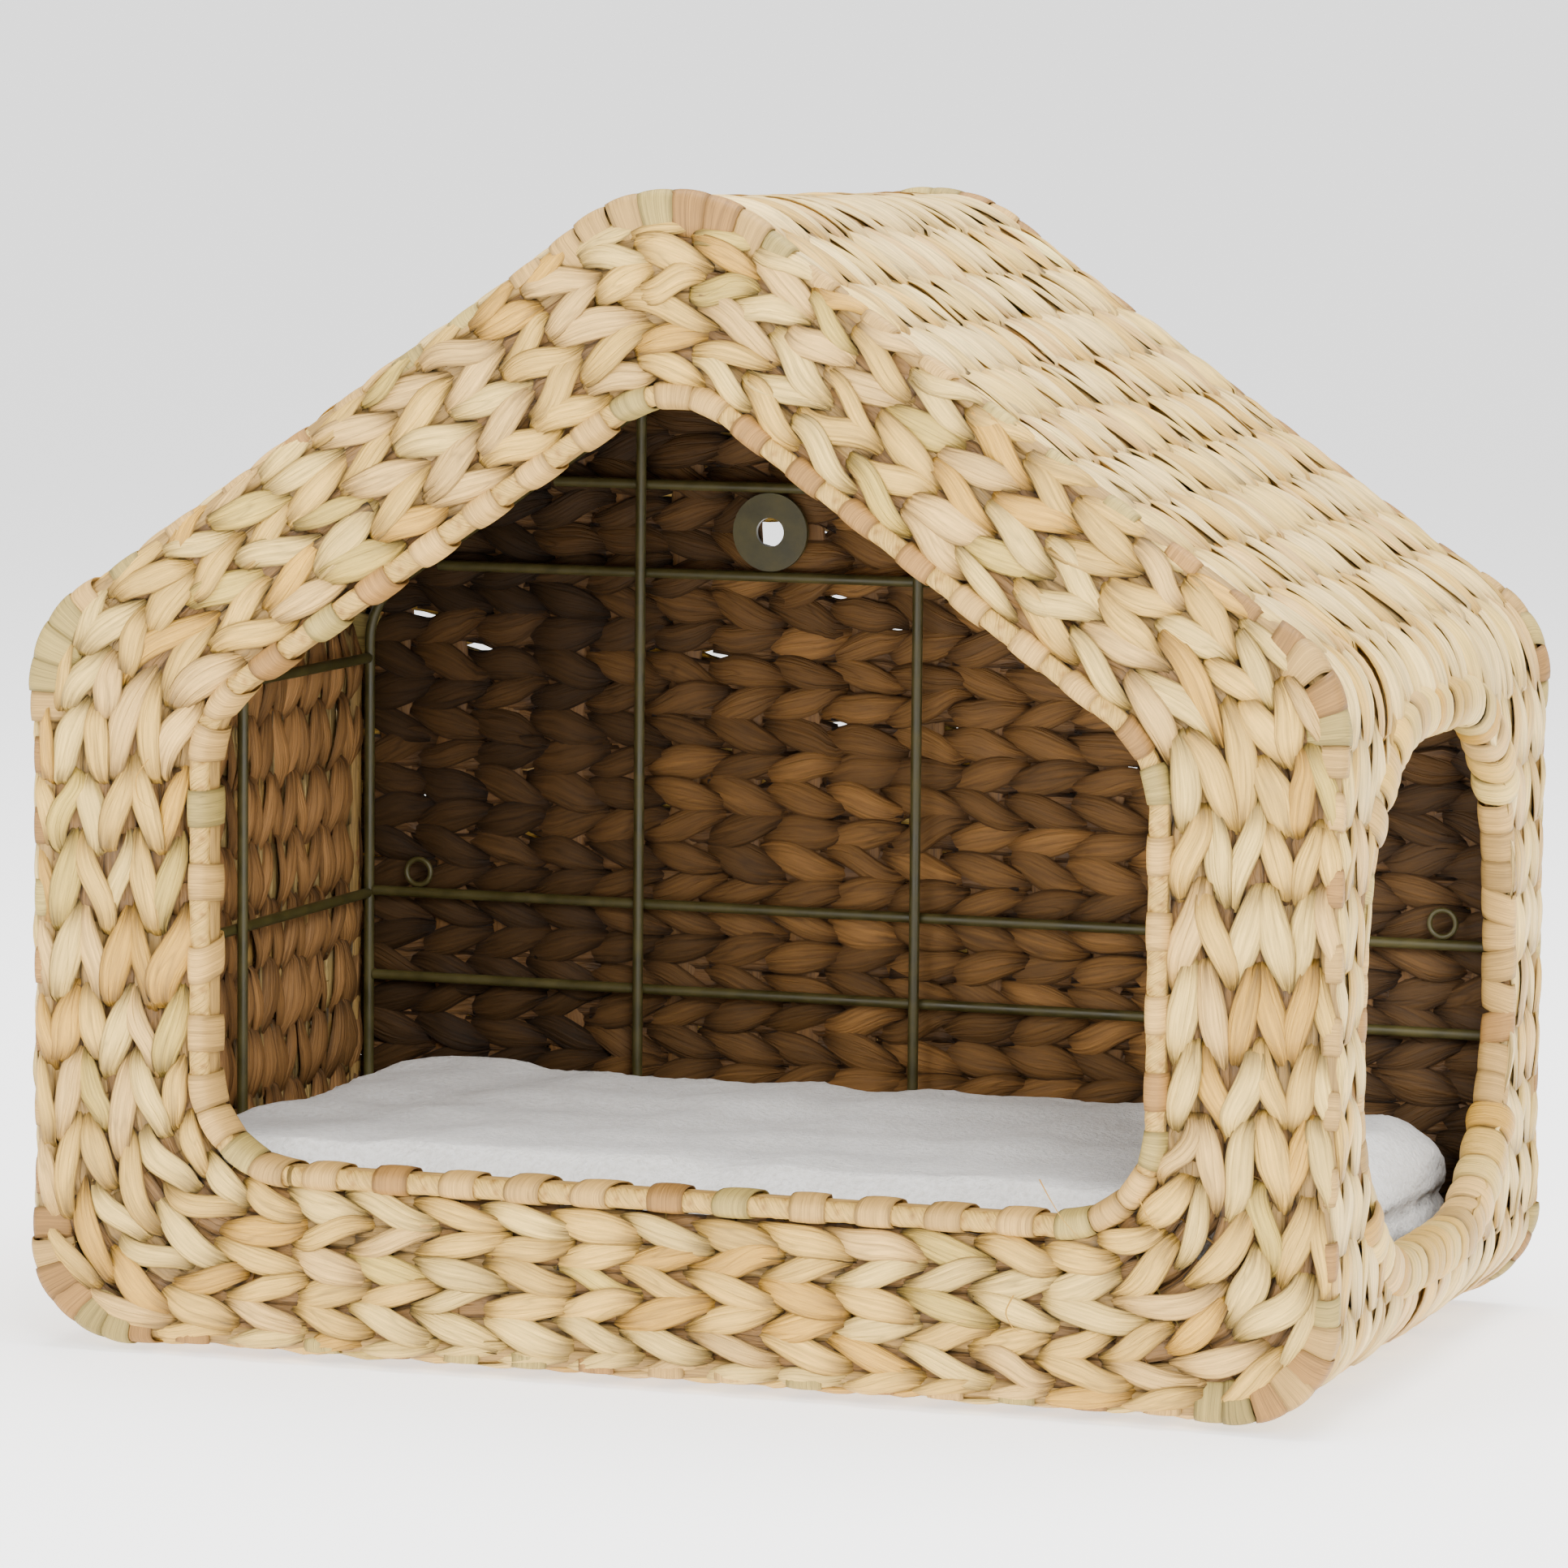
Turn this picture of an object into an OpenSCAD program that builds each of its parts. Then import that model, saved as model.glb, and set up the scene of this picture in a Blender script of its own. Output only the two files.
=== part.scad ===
// House-shaped woven pet bed: a welded wire frame, a twined plant-fibre skin over it,
// an open front, a side doorway in the right wall and a loose fleece cushion.
// Millimetres. X runs left to right, Y from the front to the back, Z up. The front is at -Y.

/* [House] */
// Overall width
house_w = 480; // [420:1:520]
// Overall depth, front face to back face
house_d = 292; // [270:1:340]
// Height of the eaves, where the wall planes and the roof planes would meet
eave_h = 254; // [245:1:280]
// Height of the ridge above the eaves, before the ridge is rounded
roof_rise = 168; // [150:1:190]
// Radius of the two bottom corners
bottom_r = 40; // [36:1:50]
// Radius of the two eaves
eave_r = 43; // [38:1:50]
// Radius of the ridge
ridge_r = 63; // [50:1:70]

/* [Weave] */
// Thickness of the woven skin
skin_t = 12; // [11:0.5:13]
// Rounding of the bound front and back edges
edge_r = 8; // [6:0.5:9]
// Width of a flat stake
stake_w = 13; // [10:0.5:14]
// Thickness of a flat stake
stake_t = 2.4; // [1.8:0.1:3]
// Largest distance from stake to stake
stake_pitch = 25.5; // [24:0.5:32]
// Distance from stake to stake across the back
back_pitch = 24.3; // [22:0.1:30]

/* [Front opening] */
// Width of the woven band beside the opening
side_band = 69; // [60:1:76]
// Height of the woven sill under the opening
sill_h = 71; // [66:1:80]
// Width of the woven band along the gable
gable_band = 62; // [58:1:66]
// Radius of the lower corners of the opening
lower_r = 30; // [24:1:34]
// Radius of the shoulders of the opening
shoulder_r = 35; // [28:1:40]
// Radius of the top of the opening
peak_r = 30; // [24:1:36]
// Diameter of the twisted rope along the rim
rope_d = 8.4; // [7:0.2:9]
// Thickness of the straps bound round the rim
strap_t = 0.8; // [0.5:0.1:1]

/* [Side doorway] */
// Front end of the doorway at its foot, measured from the middle of the house
door_front = -114; // [-116:1:-108]
// Back end of the doorway at its foot, measured from the middle of the house
door_back = 102; // [96:1:108]
// How far each side of the doorway leans in towards the top
door_lean = 14; // [8:1:18]
// Height of the foot of the doorway
door_foot = 49; // [46:1:56]
// Height of the top of the doorway
door_top = 227; // [215:1:227]
// Radius of the doorway's corners
door_r = 72; // [60:1:76]

/* [Wire frame] */
// Diameter of the frame wire
rod_d = 4; // [3:0.5:4]
// Distance from the middle to each outer upright of the back
upright_x = 112; // [95:1:125]
// Heights of the four cross rods of the back, from the lowest
rail_heights = [101, 134, 262, 296];
// Height of the rod along the left eave
left_eave_rod_h = 225; // [215:1:230]
// Height of the rod along the right eave, above the doorway
right_eave_rod_h = 236; // [235:1:238]
// Height of the rod halfway up the left wall
wall_rail_h = 133; // [120:1:150]
// Distance from the middle to each tie under the sill
sill_tie_x = 156; // [100:1:165]
// Distance from the middle to each floor rod
floor_rod_x = 80; // [40:1:120]

/* [Wall fixing] */
// Distance from the middle to each mounting disc
disc_x = 60.7; // [50:0.1:75]
// Thickness of a mounting disc
disc_t = 2; // [1.5:0.1:2.5]
// Radius of the screw hole in a mounting disc
disc_hole_r = 5.5; // [3:0.1:6]
// Radius of the gap left in the back weave behind a disc
weave_hole_r = 7; // [6.5:0.1:8]
// Distance from the middle to each eye ring
eye_x = 205; // [190:1:210]
// Outer diameter of an eye ring
eye_d = 12; // [10:0.5:14]
// Diameter of an eye ring's wire
eye_wire_d = 2; // [1.6:0.1:2.2]

/* [Cushion] */
// Width of the cushion
cushion_w = 428; // [380:1:428]
// Depth of the cushion
cushion_d = 245; // [210:1:245]
// Height of the cushion
cushion_h = 58; // [50:1:64]
// Radius of the cushion's corners in plan
cushion_r = 44; // [30:1:60]
// Rounding of the cushion's edges
cushion_edge = 20; // [10:1:22]
// Thickness of the fleece cover
cover_t = 2; // [1.5:0.1:3]

/* [Hidden] */
$fn = 64;
SLIT = 0.2;              // clearance between a strip and its channel, on each side
TOUCH = 0.05;            // gap left where two welded rods meet
STEP = 0.02;             // a straight run is this much thinner than the bends that it runs into
LAP = 0.3;               // length of a straight run inside each bend
EDGE_FLAT = 22.5;        // angle turned by each small flat of a rounded edge
rod_r = rod_d / 2;
half_w = house_w / 2;
half_d = house_d / 2;
ridge_h = eave_h + roof_rise;
slope = atan2(roof_rise, half_w);
rod_inset = skin_t + rod_r + SLIT;          // from the outside of the skin to a rod's axis
hoop_y = half_d - rod_inset;                // depth of the front and back hoops
rim_r = rope_d / 2 + TOUCH + strap_t;       // outer radius of the strapped rim
skin_len = house_d - 2 * skin_t;            // depth of the skin between the bound edges
rod_len = 2 * (hoop_y - rod_r - TOUCH);     // length of a rod between the two hoops
tie_gap = rod_r + TOUCH;                    // from a rod's axis to the end of a tie
second_layer = rod_d + SLIT;                // from the axis of a rod to the axis of one that crosses it
wall_rod_x = half_w - rod_inset;            // rods on the inside of the two walls
upright_y = hoop_y - second_layer;          // uprights of the back
upright_top = ridge_h - skin_t / cos(slope) - (upright_x + rod_r) * tan(slope) - SLIT;
low_tie_y = [-40, 30];                      // ties under the doorway, along the depth
high_tie_y = -6;                            // tie over the doorway
binding_t = 3;                              // strap and turned weave round the doorway's edge
rope_y = half_d - rim_r;                            // depth of the rope's axis
strap_back_y = hoop_y - rod_r - TOUCH + rope_d / 2; // where the strap turns behind the opening hoop
cushion_z = skin_t + rod_d + 3 * SLIT;
cushion_y = -1.5;                           // the cushion sits a little forward of the middle
disc_r = (rail_heights[3] - rail_heights[2]) / 2 - rod_r - TOUCH;
disc_z = (rail_heights[2] + rail_heights[3]) / 2;

// Corners run clockwise as seen from the front: bottom left, left eave, ridge, right eave, bottom right
HOUSE = outline([[-half_w, 0], [-half_w, eave_h], [0, ridge_h], [half_w, eave_h], [half_w, 0]],
    [bottom_r, eave_r, ridge_r, eave_r, bottom_r]);
open_x = half_w - side_band;
open_peak = ridge_h - gable_band / cos(slope);
open_shoulder = open_peak - open_x * tan(slope);
OPENING = outline([[-open_x, sill_h], [-open_x, open_shoulder], [0, open_peak],
    [open_x, open_shoulder], [open_x, sill_h]], [lower_r, shoulder_r, peak_r, shoulder_r, lower_r]);
DOOR = outline([[door_front, door_foot], [door_front + door_lean, door_top],
    [door_back - door_lean, door_top], [door_back, door_foot]], [door_r, door_r, door_r, door_r]);
PAD = outline([[-cushion_w / 2, -cushion_d / 2], [-cushion_w / 2, cushion_d / 2],
    [cushion_w / 2, cushion_d / 2], [cushion_w / 2, -cushion_d / 2]],
    [cushion_r, cushion_r, cushion_r, cushion_r]);

BOTTOM_LEFT = 0;
LEFT_EAVE = 1;
RIDGE = 2;
RIGHT_EAVE = 3;
BOTTOM_RIGHT = 4;

OLIVE = [0.32, 0.34, 0.24];
STRAW = [0.87, 0.77, 0.6];
PALE_STRAW = [0.92, 0.85, 0.71];
STAKE_TAN = [0.74, 0.61, 0.45];
BINDING_BROWN = [0.6, 0.46, 0.31];
FLEECE = [0.95, 0.94, 0.92];

// ---- Rounded outlines ----
// An outline is a list of corners: [centre, radius, angle of the normal on leaving, angle turned].
// The corners run clockwise, so the outside lies to the left of the direction of travel.

function unit(v) = v / norm(v);
function ray(a) = [cos(a), sin(a)];
function heading(p, i) = let (d = p[(i + 1) % len(p)] - p[i]) atan2(d.y, d.x);
function before(p, i) = (i + len(p) - 1) % len(p);
function turned(p, i) = (heading(p, before(p, i)) - heading(p, i) + 720) % 360;
function centre(p, i, r) =
    let (back = unit(p[before(p, i)] - p[i]), on = unit(p[(i + 1) % len(p)] - p[i]))
    p[i] + unit(back + on) * r / cos(turned(p, i) / 2);
function outline(p, radii) =
    [for (i = [0:len(p) - 1]) [centre(p, i, radii[i]), radii[i], heading(p, i) + 90, turned(p, i)]];
function grown(o, by) = [for (c = o) [c[0], c[1] + by, c[2], c[3]]];
function after(o, i) = (i + 1) % len(o);
function leaving(o, i) = o[i][0] + o[i][1] * ray(o[i][2]);
function arriving(o, i) = let (n = after(o, i)) o[n][0] + o[n][1] * ray(o[i][2]);
function side_length(o, i) = norm(arriving(o, i) - leaving(o, i));
function stake_count(length) = max(1, round(length / stake_pitch));

// Turns a shape drawn in the front view, with its Z towards the viewer, into place
module front_view() {
    rotate([90, 0, 0]) children();
}

// Turns a shape drawn as seen from the right-hand side, with its X along Y, into place
module right_view() {
    rotate([90, 0, 90]) children();
}

// Filled rounded outline
module plate(o, thick) {
    flats = grown(o, -STEP);
    linear_extrude(thick)
        polygon([for (i = [0:len(o) - 1]) each [leaving(flats, i), arriving(flats, i)]]);
    for (c = o) translate(c[0]) cylinder(r = c[1], h = thick);
}

// Carries a profile (X outwards, Y along the depth) round part of one corner.
// A profile takes $thin off its inner and outer faces.
module round_corner(c, from = 0, to = 1, $thin = 0) {
    translate(c[0]) rotate(c[2] + (1 - to) * c[3]) rotate_extrude(angle = (to - from) * c[3])
        translate([c[1], 0]) children();
}

// Carries a profile (X outwards, Y along the depth) along part of one side
module along_side(o, i, start, length, $thin = 0) {
    translate(leaving(o, i) + start * ray(o[i][2] - 90)) rotate([90, 0, o[i][2]])
        linear_extrude(length) children();
}

// Carries a profile along a whole side, a little way into the bends at its ends
module whole_side(o, i, lap_start = LAP, lap_end = LAP) {
    along_side(o, i, -lap_start, side_length(o, i) + lap_start + lap_end, STEP) children();
}

// Carries a profile all the way round an outline
module sweep(o) {
    for (i = [0:len(o) - 1]) {
        round_corner(o[i]) children();
        whole_side(o, i) children();
    }
}

// Section with its upper outer corner rounded
module rounded_step(wide, high, r) {
    translate([-wide + $thin, 0]) square([wide - r - $thin, high]);
    translate([-r, 0]) square([r - $thin, high - r]);
    translate([-r, high - r]) intersection() {
        circle(r - $thin);
        square(r);
    }
}

// The same section with its corner rounded in small flats
module flatted_step(wide, high, r) {
    polygon([
        [-wide + $thin, 0],
        [-wide + $thin, high - $thin],
        each [for (a = [90:-EDGE_FLAT:0]) [-r, high - r] + (r - $thin) * ray(a)],
        [-$thin, 0]
    ]);
}

// ---- Rods ----

module rod(from, to, margin = 0) {
    way = to - from;
    translate(from) rotate([0, atan2(norm([way.x, way.y]), way.z), atan2(way.y, way.x)])
        cylinder(r = rod_r + margin, h = norm(way));
}

module depth_rod(x, z) {
    color(OLIVE) rod([x, -rod_len / 2, z], [x, rod_len / 2, z]);
}

module wire_hoop(o, depth) {
    color(OLIVE) front_view() sweep(o) translate([0, depth]) circle(rod_r - $thin);
}

module front_hoop() {
    wire_hoop(grown(HOUSE, -rod_inset), hoop_y);
}

module back_hoop() {
    wire_hoop(grown(HOUSE, -rod_inset), -hoop_y);
}

module opening_hoop() {
    wire_hoop(grown(OPENING, rim_r), hoop_y);
}

// Short rods behind the front weave that hold the opening hoop inside the front hoop
module sill_tie_rods(margin = 0) {
    for (x = [-sill_tie_x, sill_tie_x]) {
        foot = abs(x) > OPENING[BOTTOM_RIGHT][0].x
            ? OPENING[BOTTOM_RIGHT][0].y - sqrt(pow(lower_r + rim_r + tie_gap, 2)
                - pow(abs(x) + rod_r - OPENING[BOTTOM_RIGHT][0].x, 2))
            : sill_h - rim_r - tie_gap;
        rod([x, -hoop_y, rod_inset + tie_gap], [x, -hoop_y, foot - rod_r], margin);
    }
}

module post_tie_rods(margin = 0) {
    inner_x = open_x + rim_r + tie_gap;
    outer_x = half_w - rod_inset - tie_gap;
    post_z = (sill_h + open_shoulder) / 2;
    for (s = [-1, 1]) rod([s * inner_x, -hoop_y, post_z], [s * outer_x, -hoop_y, post_z], margin);
}

module gable_tie_rods(margin = 0) {
    middle = [-half_w / 2, eave_h + roof_rise / 2];
    for (s = [-1, 1]) {
        near = middle - (gable_band - rim_r - tie_gap) * ray(slope + 90);
        far = middle - (rod_inset + tie_gap) * ray(slope + 90);
        rod([s * near.x, -hoop_y, near.y], [s * far.x, -hoop_y, far.y], margin);
    }
    peak = OPENING[RIDGE][0].y + peak_r + rim_r + tie_gap;
    top = HOUSE[RIDGE][0].y + ridge_r - rod_inset - tie_gap;
    rod([0, -hoop_y, peak], [0, -hoop_y, top], margin);
}

module sill_ties() {
    color(OLIVE) sill_tie_rods();
}

module post_ties() {
    color(OLIVE) post_tie_rods();
}

module gable_ties() {
    color(OLIVE) gable_tie_rods();
}

// Places on the inside of a corner, one rod radius off the skin
function corner_spot(i, a) = HOUSE[i][0] + (HOUSE[i][1] - rod_inset) * ray(a);
ridge_spot = corner_spot(RIDGE, 90);
right_eave_a = asin((right_eave_rod_h - HOUSE[RIGHT_EAVE][0].y) / (eave_r - rod_inset));
right_eave_spot = corner_spot(RIGHT_EAVE, right_eave_a);
low_left_spot = corner_spot(BOTTOM_LEFT, 225);

module ridge_rod() {
    depth_rod(ridge_spot.x, ridge_spot.y);
}

module left_eave_rod() {
    depth_rod(-wall_rod_x, left_eave_rod_h);
}

module right_eave_rod() {
    depth_rod(right_eave_spot.x, right_eave_spot.y);
}

module left_corner_rod() {
    depth_rod(low_left_spot.x, low_left_spot.y);
}

module right_corner_rod() {
    depth_rod(-low_left_spot.x, low_left_spot.y);
}

module left_floor_rod() {
    depth_rod(-floor_rod_x, rod_inset);
}

module right_floor_rod() {
    depth_rod(floor_rod_x, rod_inset);
}

module left_wall_rail() {
    depth_rod(-wall_rod_x, wall_rail_h);
}

module left_wall_upright() {
    x = -wall_rod_x + second_layer;
    foot = low_left_spot.y + rod_d;
    color(OLIVE) rod([x, 0, foot], [x, 0, left_eave_rod_h + rod_d]);
}

// Wire hoop on the inside of the right wall, round the doorway
module doorway_hoop() {
    color(OLIVE) right_view() sweep(grown(DOOR, rod_r + SLIT)) translate([0, wall_rod_x])
        circle(rod_r - $thin);
}

module doorway_ties() {
    low_x = wall_rod_x - second_layer;
    for (y = low_tie_y) {
        color(OLIVE) rod([low_x, y, low_left_spot.y + rod_d], [low_x, y, door_foot + rod_r]);
    }
    high_x = min(low_x, right_eave_spot.x - second_layer);
    high_z = right_eave_spot.y + rod_r;
    color(OLIVE) rod([high_x, high_tie_y, door_top - rod_r], [high_x, high_tie_y, high_z]);
}

module back_upright(x, top) {
    color(OLIVE) rod([x, upright_y, skin_t + SLIT], [x, upright_y, top]);
}

module back_upright_left() {
    back_upright(-upright_x, upright_top);
}

module back_upright_middle() {
    back_upright(0, ridge_spot.y - tie_gap);
}

module back_upright_right() {
    back_upright(upright_x, upright_top);
}

// Half the length of a cross rod of the back: it ends against the back hoop
function rail_reach(z) = z < HOUSE[LEFT_EAVE][0].y
    ? wall_rod_x - tie_gap
    : min((ridge_h - rod_inset / cos(slope) - z - rod_r) / tan(slope) - tie_gap / sin(slope),
        half_w - eave_r);

module back_rail(z) {
    color(OLIVE) rod([-rail_reach(z), hoop_y, z], [rail_reach(z), hoop_y, z]);
}

module back_rail_1() {
    back_rail(rail_heights[0]);
}

module back_rail_2() {
    back_rail(rail_heights[1]);
}

module back_rail_3() {
    back_rail(rail_heights[2]);
}

module back_rail_4() {
    back_rail(rail_heights[3]);
}

// Drilled disc that takes a wall screw, welded between the two upper cross rods
module mounting_disc(x) {
    color(OLIVE) translate([x, hoop_y + disc_t / 2, disc_z]) rotate([90, 0, 0]) difference() {
        cylinder(r = disc_r, h = disc_t);
        translate([0, 0, -1]) cylinder(r = disc_hole_r, h = disc_t + 2);
    }
}

module mounting_disc_left() {
    mounting_disc(-disc_x);
}

module mounting_disc_right() {
    mounting_disc(disc_x);
}

// Small wire ring standing on a cross rod
module eye_ring(x) {
    ring_r = (eye_d - eye_wire_d) / 2;
    color(OLIVE) translate([x, hoop_y, rail_heights[1] + rod_r + eye_d / 2 + TOUCH]) rotate([90, 0, 0])
        rotate_extrude() translate([ring_r, 0]) circle(eye_wire_d / 2);
}

module eye_ring_left() {
    eye_ring(-eye_x);
}

module eye_ring_right() {
    eye_ring(eye_x);
}

// ---- Stakes ----
// Flat strips in the middle of the skin. With room set, the same strips cut their channels.

module depth_strip(room) {
    square([stake_t + 2 * room, skin_len + 2 * room], center = true);
}

// Strips that run along the depth, spaced along one side of the house
module side_stakes(i, room = 0) {
    mid = grown(HOUSE, -skin_t / 2);
    count = stake_count(side_length(mid, i));
    step = side_length(mid, i) / count;
    wide = stake_w + 2 * room;
    for (k = [0:count - 1]) {
        along_side(mid, i, (k + 0.5) * step - wide / 2, wide) depth_strip(room);
    }
}

// Strips that run along the depth, spaced round one corner of the house
module corner_stakes(i, room = 0, from = 0, to = 1) {
    mid = HOUSE[i][1] - skin_t / 2;
    count = stake_count(mid * HOUSE[i][3] * (to - from) * PI / 180);
    step = HOUSE[i][3] * (to - from) / count;
    wide = stake_w + 2 * room;
    for (k = [0:count - 1]) {
        translate(HOUSE[i][0]) rotate(HOUSE[i][2] + (1 - to) * HOUSE[i][3] + (k + 0.5) * step)
            translate([mid, 0, 0]) cube([stake_t + 2 * room, wide, skin_len + 2 * room], center = true);
    }
}

// Strips of the front, square to each side of the opening and fanned out at its corners
module front_strips(room = 0) {
    rim = grown(OPENING, 2 * rim_r + 2 * SLIT - room);
    wide = stake_w + 2 * room;
    reach = 150;                    // past the outside of the house at any corner
    for (i = [0:len(rim) - 1]) {
        count = stake_count(side_length(rim, i));
        step = side_length(rim, i) / count;
        for (k = [0:count - 1]) {
            translate(leaving(rim, i) + (k + 0.5) * step * ray(rim[i][2] - 90)) rotate(rim[i][2])
                translate([0, -wide / 2]) square([reach, wide]);
        }
        fan = floor(rim[i][1] * rim[i][3] * PI / 180 / (stake_w + 1));
        for (k = [0:fan - 1]) {
            translate(rim[i][0]) rotate(rim[i][2] + (k + 0.5) * rim[i][3] / fan)
                translate([rim[i][1], -wide / 2]) square([reach, wide]);
        }
    }
}

module front_stake_bars(room = 0) {
    translate([0, 0, half_d - skin_t / 2 - stake_t / 2 - room]) intersection() {
        plate(grown(HOUSE, -skin_t - SLIT + 2 * room), stake_t + 2 * room);
        linear_extrude(stake_t + 2 * room) front_strips(room);
    }
}

// Stakes of the back on each side of its middle one
back_side_count = floor((half_w - skin_t - stake_w / 2) / back_pitch);

module back_stake_bars(room = 0) {
    translate([0, 0, -half_d + skin_t / 2 - stake_t / 2 - room]) intersection() {
        plate(grown(HOUSE, -skin_t - SLIT + 2 * room), stake_t + 2 * room);
        for (k = [-back_side_count:back_side_count]) {
            translate([k * back_pitch - stake_w / 2 - room, 0, 0])
                cube([stake_w + 2 * room, ridge_h, skin_t]);
        }
    }
}

// ---- Woven skin ----

module skin_profile() {
    translate([-skin_t + $thin, -skin_len / 2]) square([skin_t - 2 * $thin, skin_len]);
}

module left_wall_weave() {
    color(STRAW) front_view() difference() {
        union() {
            round_corner(HOUSE[BOTTOM_LEFT]) skin_profile();
            whole_side(HOUSE, BOTTOM_LEFT, LAP, 0) skin_profile();
        }
        corner_stakes(BOTTOM_LEFT, SLIT);
        side_stakes(BOTTOM_LEFT, SLIT);
    }
}

module left_wall_stakes() {
    color(STAKE_TAN) front_view() {
        corner_stakes(BOTTOM_LEFT);
        side_stakes(BOTTOM_LEFT);
    }
}

// The space that the doorway takes out of the right wall
module doorway_space(margin = 0) {
    right_view() translate([0, 0, half_w - 2 * skin_t]) plate(grown(DOOR, margin), 3 * skin_t);
}

module right_wall_weave() {
    color(STRAW) difference() {
        front_view() difference() {
            union() {
                whole_side(HOUSE, RIGHT_EAVE, 0, LAP) skin_profile();
                round_corner(HOUSE[BOTTOM_RIGHT]) skin_profile();
            }
            side_stakes(RIGHT_EAVE, SLIT);
            corner_stakes(BOTTOM_RIGHT, SLIT);
        }
        doorway_space(binding_t);
    }
}

module right_wall_stakes() {
    color(STAKE_TAN) difference() {
        front_view() {
            side_stakes(RIGHT_EAVE);
            corner_stakes(BOTTOM_RIGHT);
        }
        doorway_space(binding_t + SLIT);
    }
}

module left_roof_weave() {
    color(PALE_STRAW) front_view() difference() {
        union() {
            round_corner(HOUSE[LEFT_EAVE]) skin_profile();
            whole_side(HOUSE, LEFT_EAVE) skin_profile();
            round_corner(HOUSE[RIDGE], 0, 0.5) skin_profile();
        }
        corner_stakes(LEFT_EAVE, SLIT);
        side_stakes(LEFT_EAVE, SLIT);
        corner_stakes(RIDGE, SLIT, 0, 0.5);
    }
}

module left_roof_stakes() {
    color(STAKE_TAN) front_view() {
        corner_stakes(LEFT_EAVE);
        side_stakes(LEFT_EAVE);
        corner_stakes(RIDGE, 0, 0, 0.5);
    }
}

module right_roof_weave() {
    color(PALE_STRAW) front_view() difference() {
        union() {
            round_corner(HOUSE[RIDGE], 0.5, 1) skin_profile();
            whole_side(HOUSE, RIDGE) skin_profile();
            round_corner(HOUSE[RIGHT_EAVE]) skin_profile();
        }
        corner_stakes(RIDGE, SLIT, 0.5, 1);
        side_stakes(RIDGE, SLIT);
        corner_stakes(RIGHT_EAVE, SLIT);
    }
}

module right_roof_stakes() {
    color(STAKE_TAN) front_view() {
        corner_stakes(RIDGE, 0, 0.5, 1);
        side_stakes(RIDGE);
        corner_stakes(RIGHT_EAVE);
    }
}

module floor_weave() {
    color(STRAW) front_view() difference() {
        whole_side(HOUSE, BOTTOM_RIGHT, 0, 0) skin_profile();
        side_stakes(BOTTOM_RIGHT, SLIT);
    }
}

module floor_stakes() {
    color(STAKE_TAN) front_view() side_stakes(BOTTOM_RIGHT);
}

module front_weave() {
    color(STRAW) front_view() difference() {
        translate([0, 0, half_d - skin_t]) plate(grown(HOUSE, -skin_t), skin_t);
        translate([0, 0, half_d - 2 * skin_t]) plate(grown(OPENING, 2 * rim_r + SLIT), 3 * skin_t);
        front_stake_bars(SLIT);
    }
}

module front_stakes() {
    color(STAKE_TAN) front_view() front_stake_bars();
}

// The gaps left in the back weave for the two wall screws
module screw_gaps(r) {
    for (x = [-disc_x, disc_x]) {
        translate([x, half_d + 1, disc_z]) rotate([90, 0, 0]) cylinder(r = r, h = skin_t + 2);
    }
}

module back_weave() {
    color(STRAW) difference() {
        front_view() difference() {
            translate([0, 0, -half_d]) plate(grown(HOUSE, -skin_t), skin_t);
            back_stake_bars(SLIT);
        }
        screw_gaps(weave_hole_r);
    }
}

module back_stakes() {
    color(STAKE_TAN) difference() {
        front_view() back_stake_bars();
        screw_gaps(weave_hole_r + SLIT);
    }
}

// ---- Bindings ----

// The bound edge of the back
module edge_binding() {
    front_view() sweep(HOUSE)
        translate([0, skin_t - half_d]) mirror([0, 1]) flatted_step(skin_t, skin_t, edge_r);
}

module front_edge_binding() {
    color(BINDING_BROWN) mirror([0, 1, 0]) edge_binding();
}

module back_edge_binding() {
    color(BINDING_BROWN) edge_binding();
}

module doorway_binding() {
    color(BINDING_BROWN) right_view() translate([0, 0, half_w - skin_t + SLIT]) difference() {
        plate(grown(DOOR, binding_t - SLIT), skin_t - SLIT);
        translate([0, 0, -1]) plate(DOOR, skin_t + 2);
    }
}

// ---- Rim of the front opening ----

module rim_rope() {
    color(PALE_STRAW) front_view() sweep(grown(OPENING, rim_r))
        translate([0, rope_y]) circle(rope_d / 2 - $thin);
}

// Closed loop of strap round the rope and the wire hoop behind it
module strap_loop() {
    hole_r = rim_r - strap_t;
    difference() {
        slot(rim_r);
        slot(hole_r);
    }
}

module slot(r) {
    translate([0, rope_y]) circle(r);
    translate([0, strap_back_y]) circle(r);
    translate([-r, strap_back_y]) square([2 * r, rope_y - strap_back_y]);
}

module rim_strap_loops() {
    rim = grown(OPENING, rim_r);
    front_view() for (i = [0:len(rim) - 1]) {
        count = stake_count(side_length(rim, i));
        step = side_length(rim, i) / count;
        for (k = [0:count - 1]) {
            along_side(rim, i, (k + 0.5) * step - stake_w / 2, stake_w) strap_loop();
        }
        arc = rim[i][1] * rim[i][3] * PI / 180;
        fan = floor(arc / (stake_w + 1));
        share = stake_w / arc;
        for (k = [0:fan - 1]) {
            middle = (k + 0.5) / fan;
            round_corner(rim[i], middle - share / 2, middle + share / 2) strap_loop();
        }
    }
}

// A tie that meets the opening hoop under a strap goes through a hole in the strap
module rim_straps() {
    color(STAKE_TAN) difference() {
        rim_strap_loops();
        sill_tie_rods(SLIT);
        post_tie_rods(SLIT);
        gable_tie_rods(SLIT);
    }
}

// ---- Cushion ----

// Upper half of a pad with rounded edges, standing on the plane of the seam
module half_pad(o, height, edge) {
    plate(grown(o, -edge), height);
    sweep(o) rounded_step(edge + 1, height, edge);
}

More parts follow.
